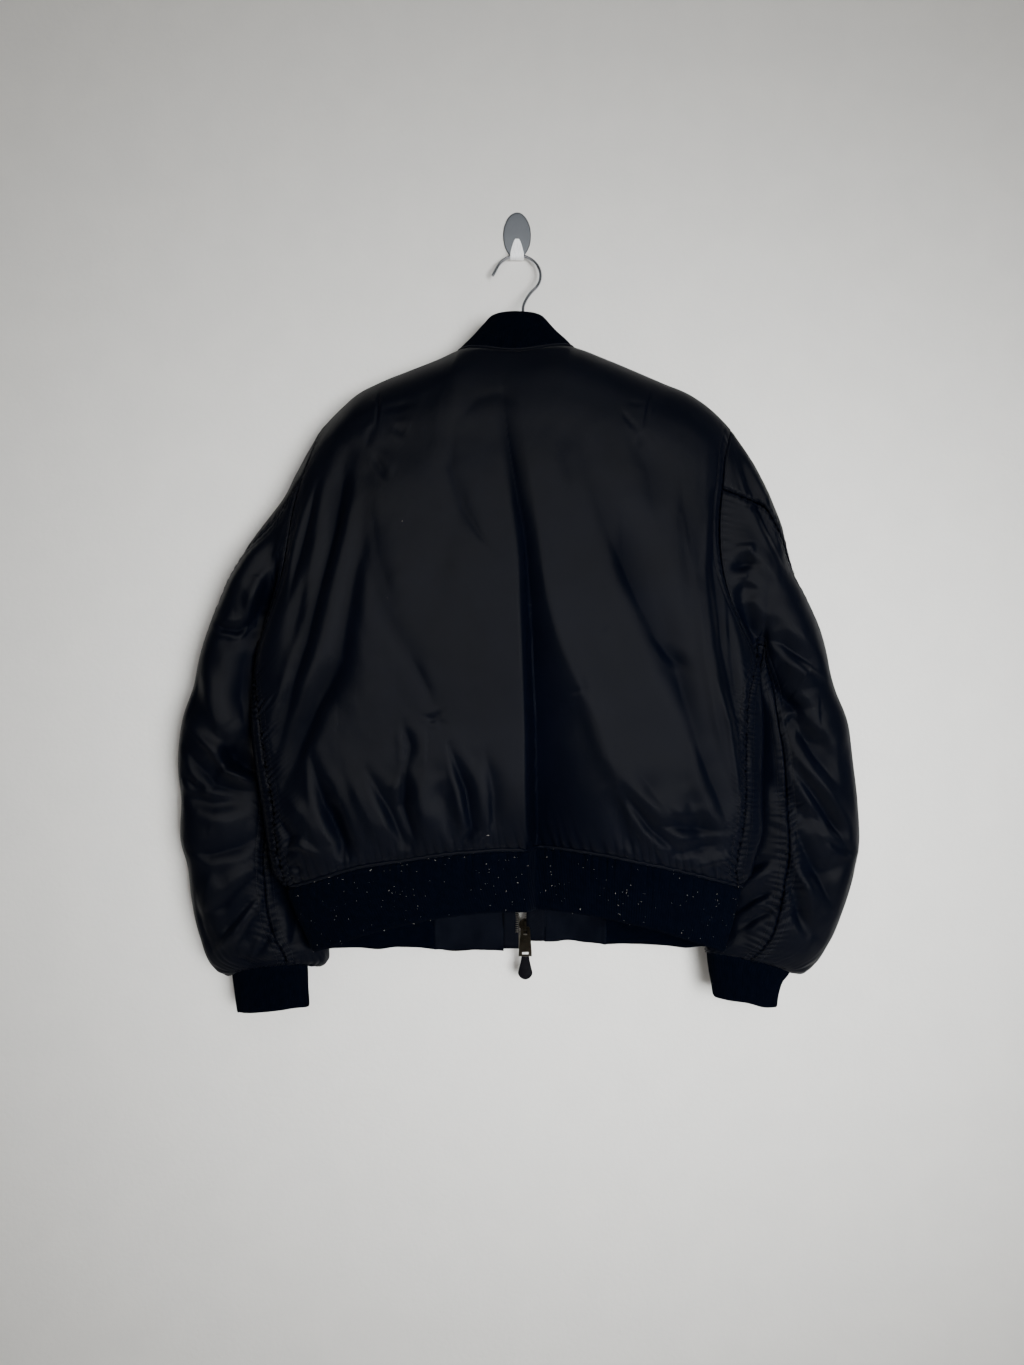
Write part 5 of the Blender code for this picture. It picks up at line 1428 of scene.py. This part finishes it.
def rounded_block(name, centre, half, coating, width, rides="jacket", taper=1.0):
    """A box with rounded edges; taper narrows its lower end."""
    points = box_points(half)
    points[points[:, 2] < 0, 0] *= taper
    made = fix_normals(make_object(name, points + np.array(centre), BOX_FACES, coating,
                                   rides))
    add_bevel(made, width)


def make_wall_plate():
    """The oval plate, domed a little, with its rolled edge."""
    rings = [[(PLATE_HALF_X * size * np.cos(a), y, PLATE_HALF_Z * size * np.sin(a))
              for a in circle(72)] for size, y in PLATE_RINGS]
    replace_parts(lofted("wall_plate_shell", rings, STEEL), "wall_hook")


def make_tongue():
    """The hook's tongue: bent out of the plate and up again, with a rounded tip."""
    fine = smooth_route(np.array(TONGUE_PATH), 46)
    step = np.gradient(fine, axis=0)
    across = unit(np.stack((step[:, 1], -step[:, 0]), axis=1)) * TONGUE_HALF_THICK
    turn = np.where(np.diff(fine[:, 1]) > 0)[0][0]
    tall = TONGUE_TIP_Z - TONGUE_NARROWS_Z
    row = np.linspace(-1, 1, 11)
    rings = []
    for k, ((y, z), (ny, nz)) in enumerate(zip(fine, across)):
        narrows = k > turn and z >= TONGUE_NARROWS_Z
        half = TONGUE_HALF * (max(0.1, (TONGUE_TIP_Z - z) / tall) ** 0.5 if narrows else 1.0)
        rings.append([(half * q, y + face * ny * (1 - 0.25 * q**4), z + face * nz)
                      for face in (-1, 1) for q in row[::-face]])
    lofted("wall_tongue", rings, POLISHED)


def make_hook_wire():
    """The hanger's round wire: a short straight tip, the hook's arc and the stem."""
    arc = [(HOOK_X + HOOK_RADIUS * np.cos(a), HOOK_Z + HOOK_RADIUS * np.sin(a))
           for a in np.radians(np.arange(*HOOK_ARC))]
    top, bottom = HOOK_Z + HOOK_RADIUS, HOOK_STEM[-1][1]
    route = np.array([(x, mix(HOOK_TOP_Y, RIDGE_Y, (top - z) / (top - bottom)), z)
                      for x, z in HOOK_TIP + arc + HOOK_STEM])
    fine = smooth_route(route, int(line_length(route)[-1] / WIRE_STEP))
    along = unit(np.gradient(fine, axis=0))
    ahead, tip_sizes = np.array(TIP_RINGS).T
    sizes = np.concatenate((tip_sizes, np.ones(len(fine))))
    fine = np.concatenate((fine[:1] - along[:1] * ahead[:, None], fine))
    along = np.concatenate((np.repeat(along[:1], len(ahead), 0), along))
    side = unit(np.cross(along, (0, 1, 0)))
    up = np.cross(side, along)
    rings = [[p + WIRE_RADIUS * size * (np.cos(b) * s + np.sin(b) * u) for b in circle(WIRE_SIDES)]
             for p, size, s, u in zip(fine, sizes, side, up)]
    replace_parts(lofted("hook_wire_shell", rings, CHROME), "hanger_hook")


def make_slider():
    """The slider's round cap with its raised rim, its shoe below, and the pull's bridge."""
    centre = np.array([SLIDER_X, SLIDER_Y, SLIDER_Z])
    rings = [[(SLIDER_X + radius * np.cos(a), y, SLIDER_Z + radius * np.sin(a))
              for a in circle(48)] for radius, y in SLIDER_CAP]
    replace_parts(lofted("slider_cap_shell", rings, BRASS), "zip_slider")
    rounded_block("slider_shoe", centre + np.array(SHOE_SHIFT), SHOE_HALF, BRASS,
                  1.0, taper=0.8)
    rings = []
    for z, y, tall in (BRIDGE_HALF + [(0.0, BRIDGE_Y - 0.1, 0.8)]
                       + [(-z, y, tall) for z, y, tall in BRIDGE_HALF[::-1]]):
        lean = z / BRIDGE_HALF[0][0]
        out = unit(np.array([0, -(1 - abs(lean) ** 3), lean]))
        rings.append([centre + np.array([x, y - SLIDER_Y, z]) + out * rise
                      for x, rise in ((-BRIDGE_HALF_X, -tall), (BRIDGE_HALF_X, -tall),
                                      (BRIDGE_HALF_X, tall * 0.9), (-BRIDGE_HALF_X, tall * 0.9))])
    add_bevel(lofted("slider_bridge", rings, BRASS), 0.35)


def make_pull():
    """The pull's flat plate: window round the bridge, raised ribs, slot for the tab."""
    down = np.array(PULL_ROWS)
    work = bmesh.new()
    grid = []
    for d, h in zip(down, spline(PULL_PROFILE["down"], PULL_PROFILE["half"], down)):
        inner = WINDOW_HALF if d < SLOT_FROM else SLOT_HALF
        grid.append([work.verts.new(np.array([SLIDER_X + x, PULL_Y - PULL_THICK / 2,
                                              PULL_Z - d]) * MM) for x in (-h, -inner, inner, h)])
    for k in range(len(down) - 1):
        open_here = any(a <= down[k] and down[k + 1] <= b for a, b in PULL_HOLES)
        for m in (0, 2) if open_here else (0, 1, 2):
            work.faces.new((grid[k][m], grid[k][m + 1], grid[k + 1][m + 1], grid[k + 1][m]))
    mesh = bpy.data.meshes.new("pull_shell")
    work.to_mesh(mesh)
    work.free()
    mesh.materials.append(BRASS)
    made = link("pull_shell", mesh)
    thick = made.modifiers.new("thickness", "SOLIDIFY")
    thick.thickness = PULL_THICK * MM
    thick.offset = 1.0 if mesh.polygons[0].normal.y > 0 else -1.0
    add_bevel(made, 0.3, 2)
    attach(made, "pull")
    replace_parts(made, "zip_pull")
    for k, x in enumerate(PULL_RIBS_X):
        for face, word in ((-1, "back"), (1, "front")):
            centre = (SLIDER_X + x, PULL_Y + face * (PULL_THICK / 2 + 0.05),
                      PULL_Z - PULL_RIBS_DOWN)
            rounded_block("pull_rib_%d_%s" % (k, word), centre, PULL_RIB_HALF, BRASS,
                          0.25, "pull")


def make_tab():
    """The pull's leather tab: a rounded paddle with softened edges."""
    down = np.linspace(37.3, 66.2, 30)
    half = spline(TAB_PROFILE["down"], TAB_PROFILE["half"], down)
    low = np.maximum(0, down - TAB_ROUND_DOWN)
    half = np.minimum(half, np.sqrt(np.maximum(0, TAB_ROUND**2 - low**2)))
    rings = [[(SLIDER_X + edge * h * size, PULL_Y + TAB_HALF_THICK * y_share, PULL_Z - d)
              for edge in (-1, 1) for d, h in list(zip(down, half))[::-edge]]
             for y_share, size in TAB_RINGS]
    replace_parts(lofted("tab_shell", rings, TAB, "pull"), "pull_tab")


def make_bottom_stops():
    """The zip's pin on the left tape and its box on the right."""
    left, right = (tape_lines(side)[1][-1] for side in (-1, 1))
    rounded_block("zip_pin", left + np.array(PIN_SHIFT), PIN_HALF, TEETH, 0.6)
    rounded_block("zip_box", right + np.array(BOX_SHIFT), BOX_HALF, TEETH, 0.7)


# ---- sewing and lint ------------------------------------------------------------------
STITCH_PITCH, STITCH_LENGTH, STITCH_HALF = 3.2, 2.5, 0.32
# a stitch's three rings: place along it, share of its full size, and how deep it dips
STITCH_RINGS = (-0.5, 0.35, 0.25), (0, 1, 0), (0.5, 0.35, 0.25)
STITCH_RISE, PIPING_RISE, PIPING_SIDES = 0.3, 0.6, 8
LINT_SIZE, LINT_RISE = 0.6, 0.35
LINT_LOW, LINT_LEFT_OUT = 0.6, 0.35      # where lint thins out, and how much of it there


def line_on(grid, edge, away, rise):
    """The line on a panel that stays a given way from one of its edges."""
    points, facing = grid
    if edge in ("top", "bottom"):
        points, facing = points.swapaxes(0, 1), facing.swapaxes(0, 1)
    length = run(points, 1)
    place, out = [], []
    for row in range(points.shape[0]):
        reach = away if edge in ("start", "top") else length[row, -1] - away
        k = int(np.clip(np.searchsorted(length[row], reach) - 1, 0, points.shape[1] - 2))
        q = (reach - length[row, k]) / max(length[row, k + 1] - length[row, k], 1e-6)
        place.append(mix(points[row, k], points[row, k + 1], q))
        out.append(facing[row, k])
    return np.array(place) + np.array(out) * rise, np.array(out)


def sew(name, grid, edges):
    """Rows of sewing on a panel: each stitch is a small rounded bar that dips into the cloth.
    edges lists which edge, the rows' ways from it, and their first and last share."""
    index = np.arange(12).reshape(3, 4)
    stitch_faces = quads(closed(index)) + [index[0, ::-1].tolist(), index[-1].tolist()]
    points, faces = [], []
    for edge, away, first_share, last_share in [
            (edge, away, a, b) for edge, ways, a, b in edges for away in ways]:
        line, facing = line_on(grid, edge, away, STITCH_RISE)
        part = slice(int(first_share * len(line)), int(last_share * len(line)))
        line, facing = line[part], facing[part]
        length = line_length(line)
        at = np.arange(STITCH_PITCH / 2, length[-1], STITCH_PITCH)
        if len(at) < 3:
            continue
        place, out = at_lengths(length, line, at), unit(at_lengths(length, facing, at))
        along = unit(np.gradient(place, axis=0))
        for p, a, n, b in zip(place, along, out, np.cross(out, along)):
            first = len(points)
            for q, size, dip in STITCH_RINGS:
                centre, half = p + a * q * STITCH_LENGTH - n * dip, STITCH_HALF * size
                points += [centre + b * half, centre + n * half, centre - b * half,
                           centre - n * half]
            faces += [[first + k for k in face] for face in stitch_faces]
    make_object(name, points, faces, SATIN_THREAD)


def make_piping(name, grid, edge, away, radius, seed, flat=0.75):
    """A corded ridge along a panel's edge."""
    line, facing = (part[::3] for part in line_on(grid, edge, away, PIPING_RISE))
    length = line_length(line)
    size = 1 + 0.10 * noise(length / 5, seed, seed) + 0.08 * noise(length / 14, seed, seed + 1)
    over = unit(np.cross(facing, unit(np.gradient(line, axis=0))))
    points = [p + radius * w * (np.cos(a) * b + flat * np.sin(a) * n)
              for p, n, b, w in zip(line, facing, over, size) for a in circle(PIPING_SIDES)]
    make_object(name, points, ring_faces(len(line), PIPING_SIDES), SATIN)


def make_lint(name, grid, allowed, count, seed):
    """Small pale fibres and specks caught on the cloth, fewer on its lower part."""
    outer, facing = grid
    rng = np.random.default_rng(seed)
    rows, cols = np.nonzero(allowed)
    points, faces = [], []
    for pick in rng.integers(0, len(rows), count):
        r, c = rows[pick], cols[pick]
        if rng.random() < LINT_LEFT_OUT and r > outer.shape[0] * LINT_LOW:
            continue
        n = facing[r, c]
        p = outer[r, c] + n * LINT_RISE
        side = unit(np.cross(n, (0, 0, 1.0)))
        up = np.cross(side, n)
        turn = rng.random() * np.pi
        length = LINT_SIZE * rng.gamma(2.0, 0.5)
        width = LINT_SIZE * rng.uniform(0.35, 0.7)
        a = np.cos(turn) * side + np.sin(turn) * up
        b = -np.sin(turn) * side + np.cos(turn) * up
        first = len(points)
        points += [p + a * np.cos(w) * length * rng.uniform(0.7, 1.1)
                   + b * np.sin(w) * width * rng.uniform(0.7, 1.1) for w in circle(6)]
        points += [p + n * LINT_RISE, p - n * 0.2]
        for k in range(6):
            here, there = first + k, first + (k + 1) % 6
            faces += [(here, there, first + 6), (there, here, first + 7)]
    make_object(name, points, faces, LINT)


# ---- the whole jacket ---------------------------------------------------------------------
HEM_PIPING, HEM_PIPING_AWAY, HEM_PIPING_FLAT = 2.5, 1.2, 0.85
NECK_PIPING, NECK_PIPING_AWAY = 1.3, 1.0
HEM_SEEN_Y = -76             # the hem band in front of this depth catches lint

back = make_back()
sew("stitches_back", back, [
    ("start", BODY_ROWS, 0.02, 0.99), ("end", BODY_ROWS, 0.02, 0.99),
    ("bottom", HEM_ROW, 0.01, 0.99), ("top", ONE_ROW, 0.02, 0.98)])
make_piping("hem_piping_back", back, "bottom", HEM_PIPING_AWAY, HEM_PIPING, 201,
            HEM_PIPING_FLAT)
make_piping("neck_piping", make_collar(), "top", NECK_PIPING_AWAY, NECK_PIPING, 203)
hem = make_hem_band()
for side, word in WORDS.items():
    front = make_front(side)
    sew("stitches_front_" + word, front, [
        ("start", BODY_ROWS, 0.02, 0.99), ("end", EDGE_ROW, 0.02, 0.99),
        ("bottom", HEM_ROW, 0.01, 0.99), ("top", ONE_ROW, 0.02, 0.98)])
    make_piping("hem_piping_front_" + word, front, "bottom", HEM_PIPING_AWAY, HEM_PIPING,
                205 + side, HEM_PIPING_FLAT)
    sew("stitches_sleeve_" + word + "_back", make_sleeve(side, "back"), [
        ("start", ONE_ROW, 0.02, 0.99), ("end", SLEEVE_SEAM_ROWS, 0.03, 0.99),
        ("top", ONE_ROW, 0.02, 0.98)])
    sew("stitches_sleeve_" + word + "_front", make_sleeve(side, "front"), [
        ("start", SLEEVE_SEAM_ROWS, 0.03, 0.99), ("end", ONE_ROW, 0.02, 0.99),
        ("top", ONE_ROW, 0.02, 0.98)])
    make_cuff(side)
    sew("stitches_hem_end_" + word, make_hem_end(side), [
        ("start", ONE_ROW, 0.02, 0.98), ("end", EDGE_ROW, 0.02, 0.98),
        ("bottom", EDGE_ROW, 0.02, 0.98)])
    make_tape(side)
    make_teeth(side)
make_lint("lint_hem", hem, hem[0][..., 1] < HEM_SEEN_Y, 230, 7)
make_lint("lint_back", back, np.ones(back[0].shape[:2], bool), 5, 9)
make_wall_plate()
make_tongue()
make_hook_wire()
make_slider()
make_pull()
make_tab()
make_bottom_stops()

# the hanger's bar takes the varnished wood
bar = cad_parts["hanger_bar"]
for k in range(len(bar.data.materials)):
    bar.data.materials[k] = WOOD


# ---- stage, light and camera, in metres --------------------------------------------------
ROOM_HALF_X, ROOM_TOP, FLOOR_Z = 3.5, 1.6, -1.75
WALL_Y, FLOOR_FROM_Y, FLOOR_TO_Y = 0.0006, -4.0, 3.0
WALL_PAINT = make_plain("wall_paint", (0.74, 0.718, 0.682), (0.715, 0.695, 0.662), 0.85, 150.0,
                        0.0014)
FLOOR_PAINT = make_plain("floor_paint", (0.62, 0.61, 0.59), (0.58, 0.57, 0.55), 0.7, 60.0,
                         0.0004)
# name, place, target, size, power in watts, colour
LIGHTS = [
    ("window", (0.3, -2.9, 0.1), (0, 0, -0.6), (4.6, 2.6), 39, (1.0, 0.985, 0.95)),
    ("ceiling", (0.25, -1.5, 1.3), (0.05, -0.1, -0.45), (1.6, 0.9), 1.5, (0.97, 0.99, 1.0)),
    ("room", (0.9, -2.0, -0.8), (0.12, 0, -0.72), (1.2, 1.2), 15, (0.95, 0.98, 1.0)),
    ("behind", (0.3, 2.6, 0.2), (0, 0, -0.6), (3.6, 2.4), 62, (1.0, 0.99, 0.97))]
ROOM_SPREAD = 52             # degrees
ROOM_COLOUR, ROOM_STRENGTH = (0.93, 0.96, 1.0, 1), 0.06
CAMERA_PLACE, CAMERA_LENS, SENSOR_WIDTH = (-0.0065, -1.33, -0.579), 27.06, 36.0


def show_one_side(coating):
    """The wall is seen from the room only, so that the jacket's front can be looked at."""
    nodes, links = coating.node_tree.nodes, coating.node_tree.links
    facing, clear, choose = (nodes.new("ShaderNode" + kind)
                             for kind in ("NewGeometry", "BsdfTransparent", "MixShader"))
    links.new(facing.outputs["Backfacing"], choose.inputs["Fac"])
    links.new(nodes["Principled BSDF"].outputs["BSDF"], choose.inputs[1])
    links.new(clear.outputs["BSDF"], choose.inputs[2])
    links.new(choose.outputs["Shader"], nodes["Material Output"].inputs["Surface"])


def make_plane(name, corners, coating):
    mesh = bpy.data.meshes.new(name)
    mesh.from_pydata([(x * ROOM_HALF_X, y, z) for x, y, z in corners], [], [(0, 1, 2, 3)])
    mesh.materials.append(coating)
    made = link(name, mesh)
    return made


def add_light(name, place, target, size, power, colour):
    data = bpy.data.lights.new(name, "AREA")
    data.shape = "RECTANGLE"
    data.size, data.size_y = size
    data.energy = power
    data.color = colour
    made = link(name, data)
    made.location = place
    made.rotation_euler = (Vector(target) - Vector(place)).to_track_quat("-Z", "Y").to_euler()


show_one_side(WALL_PAINT)
wall = make_plane("wall", [(-1, WALL_Y, FLOOR_Z), (1, WALL_Y, FLOOR_Z), (1, WALL_Y, ROOM_TOP),
                           (-1, WALL_Y, ROOM_TOP)], WALL_PAINT)
wall.visible_shadow = False
make_plane("floor", [(-1, FLOOR_FROM_Y, FLOOR_Z), (1, FLOOR_FROM_Y, FLOOR_Z),
                     (1, FLOOR_TO_Y, FLOOR_Z), (-1, FLOOR_TO_Y, FLOOR_Z)], FLOOR_PAINT)
for light in LIGHTS:
    add_light(*light)
bpy.data.objects["room"].data.spread = np.radians(ROOM_SPREAD)
bpy.data.objects["room"].visible_glossy = False
world = bpy.data.worlds.new("room_light")
bpy.context.scene.world = world
world.use_nodes = True
background = world.node_tree.nodes["Background"]
background.inputs["Color"].default_value = ROOM_COLOUR
background.inputs["Strength"].default_value = ROOM_STRENGTH

camera = link("camera", bpy.data.cameras.new("camera"))
camera.data.lens = CAMERA_LENS
camera.data.sensor_width = SENSOR_WIDTH
camera.location = CAMERA_PLACE
camera.rotation_euler = (np.radians(90), 0, 0)
bpy.context.scene.camera = camera
